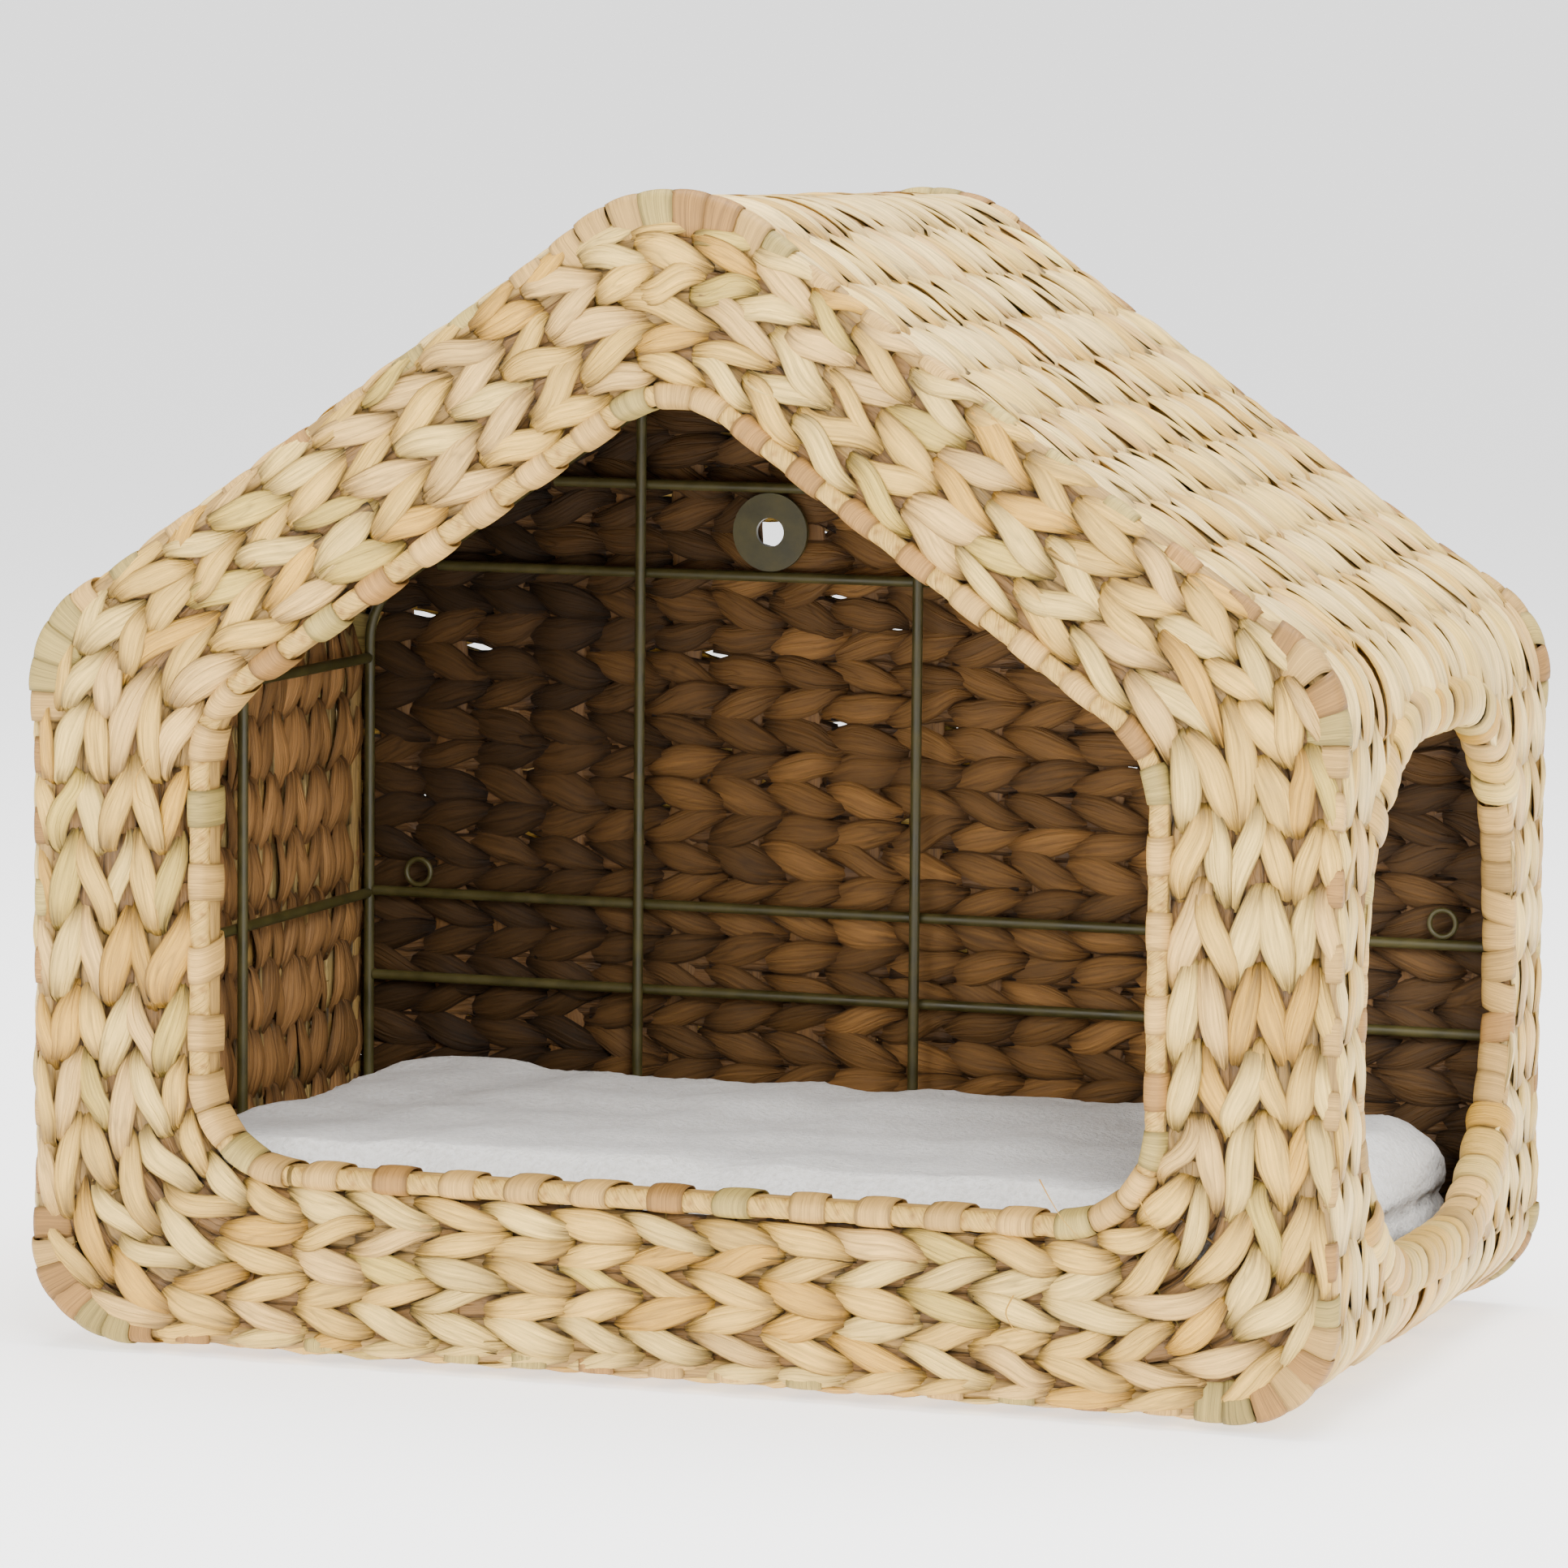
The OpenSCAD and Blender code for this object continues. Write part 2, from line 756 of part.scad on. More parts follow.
module half_cover() {
    difference() {
        half_pad(PAD, cushion_h / 2, cushion_edge);
        translate([0, 0, -1]) plate(grown(PAD, -cover_t), 1 + SLIT);
        half_pad(grown(PAD, -cover_t), cushion_h / 2 - cover_t, cushion_edge - cover_t);
    }
}

module at_cushion() {
    translate([0, cushion_y, cushion_z + cushion_h / 2]) children();
}

module cushion_cover_top() {
    color(FLEECE) at_cushion() half_cover();
}

module cushion_cover_bottom() {
    color(FLEECE) at_cushion() mirror([0, 0, 1]) half_cover();
}

module cushion_filling() {
    inner = grown(PAD, -cover_t - SLIT);
    half = cushion_h / 2 - cover_t - SLIT;
    edge = cushion_edge - cover_t - SLIT;
    color("white") at_cushion() {
        half_pad(inner, half, edge);
        mirror([0, 0, 1]) half_pad(inner, half, edge);
    }
}

front_hoop();
back_hoop();
opening_hoop();
sill_ties();
post_ties();
gable_ties();
ridge_rod();
left_eave_rod();
right_eave_rod();
left_floor_rod();
right_floor_rod();
left_corner_rod();
right_corner_rod();
left_wall_rail();
left_wall_upright();
doorway_hoop();
doorway_ties();
back_upright_left();
back_upright_middle();
back_upright_right();
back_rail_1();
back_rail_2();
back_rail_3();
back_rail_4();
mounting_disc_left();
mounting_disc_right();
eye_ring_left();
eye_ring_right();
front_weave();
front_stakes();
left_wall_weave();
left_wall_stakes();
right_wall_weave();
right_wall_stakes();
left_roof_weave();
left_roof_stakes();
right_roof_weave();
right_roof_stakes();
floor_weave();
floor_stakes();
back_weave();
back_stakes();
front_edge_binding();
back_edge_binding();
rim_rope();
rim_straps();
doorway_binding();
cushion_cover_top();
cushion_cover_bottom();
cushion_filling();
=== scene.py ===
"""Looks of the woven pet house: twined leaf strands, bound edges, wire frame and fleece cushion."""

import math

import bpy
import numpy as np
from mathutils import Matrix, Vector


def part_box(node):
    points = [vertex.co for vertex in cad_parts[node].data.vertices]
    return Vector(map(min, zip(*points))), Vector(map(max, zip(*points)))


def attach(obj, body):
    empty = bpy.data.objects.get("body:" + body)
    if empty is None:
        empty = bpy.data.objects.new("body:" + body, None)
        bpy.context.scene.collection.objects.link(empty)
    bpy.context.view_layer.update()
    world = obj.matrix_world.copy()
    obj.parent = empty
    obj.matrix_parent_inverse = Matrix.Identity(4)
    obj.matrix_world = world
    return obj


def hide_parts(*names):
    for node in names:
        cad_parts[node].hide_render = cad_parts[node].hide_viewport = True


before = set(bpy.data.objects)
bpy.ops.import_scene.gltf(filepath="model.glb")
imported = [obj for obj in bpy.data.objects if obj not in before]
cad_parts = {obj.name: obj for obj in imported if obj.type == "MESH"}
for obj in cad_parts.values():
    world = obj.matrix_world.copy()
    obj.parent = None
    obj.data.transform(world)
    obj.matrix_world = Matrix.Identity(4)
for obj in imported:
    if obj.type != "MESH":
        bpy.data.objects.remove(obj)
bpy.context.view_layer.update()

MM = 0.001


def box_mm(node):
    """Lowest and highest corner of a CAD node, in millimetres."""
    low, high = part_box(node)
    return np.array(low) / MM, np.array(high) / MM


# ---- The house, in millimetres: X to the right, Y to the back, Z up ----

front_low, front_high = box_mm("front_edge_binding")
HALF_W = front_high[0]
HALF_D = -front_low[1]
SKIN = front_high[1] - front_low[1]  # thickness of the woven skin
MID_Y = HALF_D - SKIN / 2  # depth of the middle of the front and back panels
EAVE_H = 254.0
RIDGE_H = 422.0
HOUSE_POINTS = [(-HALF_W, 0), (-HALF_W, EAVE_H), (0, RIDGE_H), (HALF_W, EAVE_H), (HALF_W, 0)]
HOUSE_RADII = [40.0, 43.0, 63.0, 43.0, 40.0]
SLOPE = math.atan2(RIDGE_H - EAVE_H, HALF_W)

SIDE_BAND = 69.0
SILL_H = 71.0
GABLE_BAND = 62.0
OPEN_X = HALF_W - SIDE_BAND
OPEN_PEAK = RIDGE_H - GABLE_BAND / math.cos(SLOPE)
OPEN_SHOULDER = OPEN_PEAK - OPEN_X * math.tan(SLOPE)
OPENING_POINTS = [
    (-OPEN_X, SILL_H), (-OPEN_X, OPEN_SHOULDER), (0, OPEN_PEAK), (OPEN_X, OPEN_SHOULDER), (OPEN_X, SILL_H),
]
OPENING_RADII = [30.0, 35.0, 30.0, 35.0, 30.0]
ROPE_R = 4.2  # radius of the twisted rope along the rim
RIM_R = 5.05  # outer radius of the strapped rim
HOOP_BACK = 14.2  # depth of the wire hoops behind the front face

DOOR_POINTS = [(-114, 49), (-100, 227), (88, 227), (102, 49)]
DOOR_RADII = [72.0] * 4

STAKE_W = 13.0
STAKE_T = 2.4
STAKE_PITCH = 25.5
BACK_PITCH = 24.3


def unit(v):
    return v / np.linalg.norm(v)


def ray(angle):
    return np.stack([np.cos(angle), np.sin(angle)], -1)


def round_turn(count):
    """Even angles round a full turn."""
    return np.linspace(0, 2 * math.pi, count, endpoint=False)


def power(value, exponent):
    """A power that keeps the sign of its value."""
    return np.sign(value) * np.abs(value) ** exponent


OUTLINE_STEPS = 720  # places tried along an outline to find the nearest
POINTS_AT_ONCE = 20000


class Outline:
    """Rounded outline whose corners run clockwise. Distances start where the bend of corner 0 does."""

    def __init__(self, points, radii):
        points = [np.array(p, float) for p in points]
        count = len(points)
        heading = [math.atan2(*(points[(i + 1) % count] - points[i])[::-1]) for i in range(count)]
        self.corners = []
        for i, (point, radius) in enumerate(zip(points, radii)):
            turned = (heading[i - 1] - heading[i]) % (2 * math.pi)
            inward = unit(points[i - 1] - point) + unit(points[(i + 1) % count] - point)
            centre = point + unit(inward) * radius / math.cos(turned / 2)
            self.corners.append((centre, radius, heading[i] + math.pi / 2, turned))
        self.measure()

    def measure(self):
        """Lays the pieces end to end: the bend of a corner, then the side that leaves it."""
        self.start, self.sides, distance = [], [], 0.0
        count = len(self.corners)
        for i, (centre, radius, normal, turned) in enumerate(self.corners):
            following = self.corners[(i + 1) % count]
            side = np.linalg.norm(
                following[0] + following[1] * ray(normal) - centre - radius * ray(normal))
            self.start.append(distance)
            self.sides.append(side)
            distance += radius * turned + side
        self.length = distance
        self.start = np.array(self.start)

    def grown(self, by):
        """The outline a constant distance outside this one."""
        other = object.__new__(Outline)
        other.corners = [(c, r + by, n, t) for c, r, n, t in self.corners]
        other.measure()
        return other

    def at(self, s):
        """Points and outward normals at distances s."""
        s = np.mod(np.asarray(s, float), self.length)
        piece = np.searchsorted(self.start, s, side="right") - 1
        centre, radius, normal, turned = (np.array(values)[piece] for values in zip(*self.corners))
        travel = s - self.start[piece]
        arc = radius * turned
        out = ray(normal + turned - np.minimum(travel, arc) / radius)
        along = ray(normal - math.pi / 2)
        point = centre + radius[..., None] * out + np.maximum(travel - arc, 0)[..., None] * along
        return point, out

    def arc_span(self, i):
        """Start and end of the bend at corner i."""
        return self.start[i], self.start[i] + self.corners[i][1] * self.corners[i][3]

    def side_span(self, i):
        """Start and end of the side that leaves corner i."""
        begin = self.arc_span(i)[1]
        return begin, begin + self.sides[i]

    def inside_by(self, points):
        """How far points lie inside the outline, and the outward normal at the nearest place on it."""
        edge, normal = self.at(np.linspace(0, self.length, OUTLINE_STEPS, endpoint=False))
        flat = points.reshape(-1, 2)
        nearest = np.empty(len(flat), int)
        for begin in range(0, len(flat), POINTS_AT_ONCE):
            some = slice(begin, begin + POINTS_AT_ONCE)
            nearest[some] = np.argmin(((flat[some, None, :] - edge[None]) ** 2).sum(-1), 1)
        depth = ((edge[nearest] - flat) * normal[nearest]).sum(-1)
        return depth.reshape(points.shape[:-1]), normal[nearest].reshape(points.shape)


HOUSE = Outline(HOUSE_POINTS, HOUSE_RADII)
SHELL = HOUSE.grown(-SKIN / 2)
OPENING = Outline(OPENING_POINTS, OPENING_RADII)
DOOR = Outline(DOOR_POINTS, DOOR_RADII)
BOTTOM_LEFT, LEFT_EAVE, RIDGE, RIGHT_EAVE, BOTTOM_RIGHT = range(5)


def spaced(span, pitch):
    """Middles of equal steps of about one pitch along a span."""
    count = max(1, round((span[1] - span[0]) / pitch))
    return span[0] + (np.arange(count) + 0.5) * (span[1] - span[0]) / count


# ---- How far the weave bulges past its frame ----

WALL_SWELL = 3.5
ROOF_SWELL = 6.0
ROOF_SWELL_LOSS = 2.1  # the roof bulges less towards the back
SWELL_DEPTH = 7.0  # from the skin's inside, over this much the bulge grows to all


def swell(out, y):
    """Bulge of the outside of the skin, by its outward direction and its depth. The floor lies flat."""
    up = np.maximum(out[..., 1], 0)
    return WALL_SWELL * out[..., 0] ** 2 + (ROOF_SWELL - ROOF_SWELL_LOSS * y / HALF_D) * up ** 2


def swell_share(high):
    """The inside of the skin stays against the wires, and the rest moves out with the bulge."""
    return np.clip((high + SKIN / 2) / SWELL_DEPTH, 0, 1)


# ---- Meshes ----

def make_object(name, points, faces, tint=None, grain=None, crease=None):
    """An object from points in millimetres, with a colour and a grain place for each point.

    A fourth value in tint is how smooth the fibre lies there, 1 unless given. crease is the number of
    points round each ring of a flat strand, whose two edges are then kept sharp.
    """
    mesh = bpy.data.meshes.new(name)
    mesh.from_pydata((points * MM).tolist(), [], faces)
    smooth_shading(mesh)
    corner_point = np.empty(len(mesh.loops), int)
    mesh.loops.foreach_get("vertex_index", corner_point)
    if tint is not None:
        layer = mesh.attributes.new("tint", "FLOAT_COLOR", "POINT")
        smoothness = np.ones((len(tint), 4 - tint.shape[1]))
        layer.data.foreach_set("color", np.c_[tint, smoothness].astype(np.float32).ravel())
    if grain is not None:
        layer = mesh.uv_layers.new(name="grain")
        layer.data.foreach_set("uv", grain[corner_point].astype(np.float32).ravel())
    if crease is not None:
        ends = np.empty(len(mesh.edges) * 2, int)
        mesh.edges.foreach_get("vertices", ends)
        ends = ends.reshape(-1, 2) % crease
        sharp = (ends[:, 0] == ends[:, 1]) & np.isin(ends[:, 0], (0, crease // 2))
        mesh.attributes.new("sharp_edge", "BOOLEAN", "EDGE").data.foreach_set("value", sharp)
    mesh.update()
    piece = bpy.data.objects.new(name, mesh)
    bpy.context.scene.collection.objects.link(piece)
    return piece


def smooth_shading(mesh):
    mesh.polygons.foreach_set("use_smooth", [True] * len(mesh.polygons))


def tube_faces(count, along, around, caps=True, ring=False):
    """Faces of count tubes, each of along rings of around points, laid out one after the other."""
    i, j = np.meshgrid(np.arange(along if ring else along - 1), np.arange(around), indexing="ij")
    i, j = i.ravel(), j.ravel()
    after, beside = (i + 1) % along, (j + 1) % around
    quads = np.stack([i * around + j, i * around + beside, after * around + beside, after * around + j], 1)
    faces = (quads[None] + (np.arange(count) * along * around)[:, None, None]).reshape(-1, 4).tolist()
    if caps and not ring:
        for k in range(count):
            base = k * along * around
            faces.append(list(range(base, base + around))[::-1])
            last = base + (along - 1) * around
            faces.append(list(range(last, last + around)))
    return faces


def make_tubes(name, points, tint, grain, ring=False, flipped=False, crease=None):
    """An object of closed tubes, or of rings. points go by tube, by place along it and by place round it."""
    faces = tube_faces(*points.shape[:3], ring=ring)
    if flipped:
        faces = [face[::-1] for face in faces]
    tint = np.broadcast_to(tint, (*points.shape[:3], tint.shape[-1])).reshape(-1, tint.shape[-1])
    return make_object(name, points.reshape(-1, 3), faces, tint, grain.reshape(-1, 2), crease)


# ---- Colours of dried leaf strands, as they reflect light, and copies darkened as painted shade ----

def linear(r, g, b):
    """A display colour from 0 to 255 as the linear colour that a shader takes."""
    c = np.array([r, g, b], float) / 255
    return np.where(c <= 0.04045, c / 12.92, ((c + 0.055) / 1.055) ** 2.4)


STRAW = linear(227, 181, 84)
PALE = linear(236, 198, 108)
GOLD = linear(216, 163, 58)
PINKISH = linear(228, 183, 102)
GREENISH = linear(210, 176, 80)
ROOF_STRAW = linear(244, 208, 130)
# The inside strands are the same fibre as the outside ones: their darker colours are painted shade inside the
# house
INNER_IN_SHADE = linear(132, 94, 50)
# a lighter copy of the inside colour: painted light on the inside of the left wall
INNER_LIT = linear(164, 120, 71)
STAKE_TAN = linear(200, 158, 86)
STAKE_GREEN = linear(176, 152, 82)
STAKE_BROWN = linear(164, 120, 60)
ROPE_CREAM = linear(220, 176, 88)
# the crossing wefts as they look in shade: painted shade
CROSSING_IN_SHADE = linear(112, 78, 40)

# Each mix is a list of colours and how often each one comes up
OUTER_MIX = ([STRAW, PALE, GOLD, PINKISH, GREENISH], [5, 4, 2, 2, 1])
ROOF_MIX = ([ROOF_STRAW, PALE, STRAW, PINKISH], [5, 4, 3, 2])
# the inside strands, in painted shade
INNER_IN_SHADE_MIX = ([INNER_IN_SHADE, INNER_IN_SHADE * 0.8, INNER_IN_SHADE * 1.4, INNER_IN_SHADE * 0.65], [5, 2, 2, 2])
# the inside of the left wall: its painted shade lightened where light falls in
LIT_INNER_MIX = ([INNER_LIT, INNER_LIT * 1.25, INNER_LIT * 0.75], [4, 2, 2])
JAMB_MIX = ([STAKE_TAN, STAKE_TAN * 0.85, STAKE_GREEN, STAKE_BROWN], [5, 3, 1, 1])
STAKE_MIX = ([STAKE_TAN, STAKE_GREEN, STAKE_BROWN], [5, 2, 3])
CORNER_MIX = ([STAKE_TAN * 0.85, STAKE_BROWN * 0.95, STAKE_GREEN * 0.9], [4, 3, 3])
BINDING_MIX = ([STAKE_TAN, STAKE_BROWN, STAKE_GREEN, STAKE_BROWN * 0.8], [5, 3, 3, 1])
# Darkened copies for the weft cores and for the back's stake strips: painted shade down in the gaps between
# strands
FRONT_CORE_MIX = ([STAKE_TAN * 0.62, STAKE_BROWN * 0.62], [2, 3])
GIRTH_CORE_MIX = ([ROOF_STRAW * 0.66, STAKE_TAN * 0.9], [3, 1])
DARK_MIX = ([CROSSING_IN_SHADE, INNER_IN_SHADE * 0.7], [3, 1])


def mixed(rng, count, colours, weights, spread=0.06):
    """A colour for each strand: one of the colours, a little lighter or darker."""
    pick = rng.choice(len(colours), count, p=np.array(weights) / sum(weights))
    value = 1 + rng.normal(0, spread, (count, 1))
    return np.clip(np.array(colours)[pick] * value, 0, 1)


GRAIN_FIELD = 40.0  # width of the field of grain that each strand takes its own from


def grain_places(rng, shape, along, aside):
    """Each strand's places in the field of grain, given its own measures along and round it."""
    places = [np.broadcast_to(part, shape) + rng.uniform(0, GRAIN_FIELD, (shape[0], 1, 1))
              for part in (along, aside)]
    return np.stack(places, -1)


# ---- Leaf strands ----
# A strand is drawn in its panel's own terms: q counts stakes, row is the place of its row across
# the panel, across is a distance from the middle of the row and high is the height above the
# middle of the skin, all in millimetres but q.

ROOT_WIDTH, ROOT_THICK = 0.28, 0.4  # where a strand comes up, as shares of its middle
TIP_LOSS, TIP_THINNING = 0.4, 0.45  # how much lower and thinner it is where it goes in
SINK = 0.6  # how far its ends lie under the middle of the skin
UNDERSIDE = 0.4  # curve of its underside, as a share of its upper side's
FLAT_TOP = 3.2  # a higher power makes its upper side flatter
LEAN_ROLL = 0.06  # how much it rolls with its lean
PLEATS = (5, 9)  # fewest and one more than the most pleats round it
PLEAT_MID, PLEAT_TIP, PLEAT_ROOT = 0.07, 0.42, 0.2
ROOT_FADE, TIP_FADE = 0.2, 0.22  # shares of its length over which it darkens to its ends, as painted shade where it goes in under its neighbours
END_DARK = 0.62  # how dark the ends are, as a share of the painted contact shade
FULL_CONTACT = 0.55  # painted contact shade at which the ends are fully pleated
AMBER = np.array([1.0, 0.93, 0.8])  # the painted shade at the edges and ends turns towards this
LEAF_GRAIN = (0.34, 0.22)  # grain that a strand takes along and round it


def leaf_strands(name, place, rows, stakes, lean, way, mix, seed, along=12, around=10, width=11.1,
                 rise=3.2, crown=1.25, sway=3.6, span=1.4, blunt=0.0, tip=0.5, side=1, shade=None,
                 contact=FULL_CONTACT):
    """One mesh of closed leaf strands, one for each row and stake given.

    rise is the height of a strand's middle line and crown the curve of its upper side. sway takes it across
    its row and span is its length in stakes. blunt widens its ends and tip narrows the last one. shade
    is painted shade that darkens each strand by its own factor, and contact is painted shade: how much
    darker strands are along their edges, where they meet, and at their ends.
    """
    rng = np.random.default_rng(seed)
    count = len(rows)

    def vary(size):
        """A random amount for each strand, of about this size either way."""
        return rng.normal(0, size, (count, 1, 1))

    a = np.linspace(0, 1, along)[None, :, None]
    phi = round_turn(around)[None, None, :]
    early = a < 0.5
    hump = np.maximum(np.sin(math.pi * a), 1e-6)
    late = np.clip(2 * a - 1, 0, 1)
    q = stakes[:, None, None] + way * ((a - 0.5) * span * (1 + vary(0.03)) + vary(0.03))
    lift = np.where(early, hump, (1 - TIP_LOSS * late ** 2) * (a < 0.999))
    slim = np.where(early, ROOT_WIDTH + (1 - ROOT_WIDTH) * hump ** 0.9, 1 - tip * late ** 1.6)
    half = width / 2 * (slim + blunt * (1 - slim)) * (1 + vary(0.1))
    drift = sway * (1 + vary(0.2)) * np.sin(math.pi * (a - 0.5)) + vary(0.6)
    bend = vary(0.75) * np.sin(2 * math.pi * a)
    reach = power(np.cos(phi), 0.8)
    upper = np.sin(phi) > 0
    arch = (1 - np.abs(reach) ** FLAT_TOP) * (1 + vary(0.25) * reach)
    thick = crown * np.where(early, ROOT_THICK + (1 - ROOT_THICK) * hump, 1 - TIP_THINNING * late)
    thick = thick * (1 + vary(0.1))
    pleat = (PLEAT_MID + PLEAT_TIP * a ** 3 + PLEAT_ROOT * (1 - a) ** 4) * np.cos(
        phi * rng.integers(*PLEATS, (count, 1, 1)) + vary(3.0))
    across = lean[:, None, None] * drift + bend + half * reach
    roll = vary(0.10) + lean[:, None, None] * LEAN_ROLL
    high = rise * (1 + vary(0.12)) * lift - SINK + thick * np.where(upper, arch, -UNDERSIDE * arch)
    high = high + np.where(upper, pleat, 0) + roll * half * reach
    q, across, high = np.broadcast_arrays(q, across, high)
    points = place(q, rows[:, None, None], across, side * high)

    tone = mixed(rng, count, *mix)
    if shade is not None:
        tone = tone * shade[:, None]
    # Painted shade: strands darken along their edges, where they meet, and towards their ends, where they go
    # under; the shade turns amber
    ends = np.exp(-((a / ROOT_FADE) ** 2)) + 0.95 * np.exp(-(((1 - a) / TIP_FADE) ** 2))
    rim = 1 - contact * np.abs(np.cos(phi)) ** 7 * np.ones_like(a)
    painted_shade = (1 - END_DARK * contact * ends) * rim
    amber = AMBER ** (ends + 1.2 * (1 - rim))[..., None]
    tint = np.broadcast_to(tone[:, None, None, :] * painted_shade[..., None] * amber, points.shape)
    # how pleated the ends are, by their painted shade; the shader paints shade between the pleats there
    smoothness = 1 - np.minimum(ends, 1) * min(contact / FULL_CONTACT, 1)
    tint = np.concatenate([tint, np.broadcast_to(smoothness, q.shape)[..., None]], -1)
    grain = grain_places(rng, q.shape, a * LEAF_GRAIN[0], phi / (2 * math.pi) * LEAF_GRAIN[1])
    return make_tubes(name, points, tint, grain, flipped=side * way > 0, crease=around)


def weft_cores(name, place, rows, stakes, mix, seed, width=11.4, crown=1.5):
    """The parts of the wefts that cross behind their neighbours: flat bars that close the gaps. Their darker
    colours are painted shade down in the gaps.
    """
    return leaf_strands(name, place, rows, stakes, np.ones(len(rows)), 1, mix, seed, along=5, around=8,
                        width=width, rise=0.0, crown=crown, sway=0.0, span=1.12, blunt=1.0)


def stake_strips(name, place, ends, stakes, seed, steps=14, mix=STAKE_MIX, around=10):
    """One mesh of flat crowned strips. ends holds each strip's first and last row."""
    rng = np.random.default_rng(seed)
    count = len(stakes)
    phi = round_turn(around)[None, None, :]
    part = np.linspace(0, 1, steps)[None, :, None]
    rows = ends[:, 0][:, None, None] * (1 - part) + ends[:, 1][:, None, None] * part
    wander = rng.normal(0, 0.5, (count, steps, 1)) + rng.normal(0, 0.5, (count, 1, 1))
    across = wander + STAKE_W / 2 * (1 + rng.normal(0, 0.05, (count, 1, 1))) * power(np.cos(phi), 0.7)
    high = STAKE_T / 2 * np.sin(phi) + rng.normal(0, 0.15, (count, steps, 1))
    across, high, rows = np.broadcast_arrays(across, high, rows)
    points = place(stakes[:, None, None], rows, across, high)
    tint = mixed(rng, count, *mix, 0.08)[:, None, None, :]
    grain = grain_places(rng, across.shape, part * 2.5, phi / (2 * math.pi) * 0.26)
    return make_tubes(name, points, tint, grain)


def straps(name, places, widths, ring, frame_at, seed, mix, steps=7, thick=0.9, edge=0.5, dark=0.4,
           skew=1.0, slack=None):
    """Straps bound round an edge. ring gives the closed section (out, deep) that a strap follows.

    edge is how thick a strap is at its two edges, as a share, and dark how much darker they are: painted
    shade where the straps meet. skew turns it off the square and slack is how far each strap lies outside
    that section.
    """
    rng = np.random.default_rng(seed)
    count, around = len(places), len(ring)
    across = np.linspace(-0.5, 0.5, steps)
    outer = thick * (edge + (1 - edge) * np.maximum(np.cos(math.pi * across), 0) ** 0.6)
    shift = np.concatenate([across, across[::-1]])
    raised = np.concatenate([outer, np.zeros(steps)])
    outward = ring - ring.mean(0)
    outward = outward / np.linalg.norm(outward, axis=1, keepdims=True)
    turn = round_turn(around)
    s = (places[:, None, None] + widths[:, None, None] * shift[None, None, :]
         + skew * rng.normal(0, 1, (count, 1, 1)) * np.sin(turn)[None, :, None])
    grow = raised + rng.normal(0, 0.12, (count, 1, 1)) + rng.normal(0, 0.07, (count, around, 1))
    if slack is not None:
        grow = grow + slack[:, None, None]
    section = ring[None, :, None, :] + outward[None, :, None, :] * grow[..., None]
    points = frame_at(s, section[..., 0], section[..., 1])
    # painted shade along both edges of each strap
    painted_shade = 1 - dark * np.abs(2 * shift) ** 6
    tint = mixed(rng, count, *mix, 0.1)[:, None, None, :] * painted_shade[:, None]
    grain = grain_places(rng, s.shape, turn[None, :, None] * 0.05, shift[None, None, :] * 0.16)
    return make_tubes(name, points, tint, grain, ring=True)


def oval(out, deep, half_out, half_deep, steps=22):
    """Closed section of a bound edge: (out, deep) points."""
    turn = round_turn(steps)
    return np.stack([out + half_out * power(np.cos(turn), 0.8),
                     deep + half_deep * power(np.sin(turn), 0.8)], -1)


LAP_STEP = 0.07  # how far a turn of the rod's strand stands over the last, as a share of the radius
LAP_WIDTH = 0.06  # width of the line of painted shade at each lap, in turns
LAP_DARK = np.array([0.4, 0.5, 0.6])  # how much of each colour that line of painted shade takes away


def wound_rod(name, outline, face, deep, radius, lay, colour, step=1.8, around=20):
    """A rod wound closely with one flat strand, so that its surface steps where each turn laps the last, with
    a line of painted shade along each lap.
    """
    rings = int(outline.length / step)
    turns = round(outline.length / lay)
    s = np.arange(rings)[:, None] * outline.length / rings
    phi = round_turn(around)[None, :]
    turn = (turns * s / outline.length + phi / (2 * math.pi)) % 1.0
    size = radius * (1 - LAP_STEP + LAP_STEP * np.sin(turn * math.pi / 2))
    points = edge_frame(outline, face)(s + 0 * phi, size * np.cos(phi), deep + size * np.sin(phi))
    lap = np.exp(-((np.minimum(turn, 1 - turn) / LAP_WIDTH) ** 2))
    tint = colour * (1 - lap[..., None] * LAP_DARK)
    grain = np.stack([phi / 9 + 0 * s, s / 90 + phi / 40], -1)
    return make_tubes(name, points[None], tint, grain, ring=True)


# ---- Materials ----

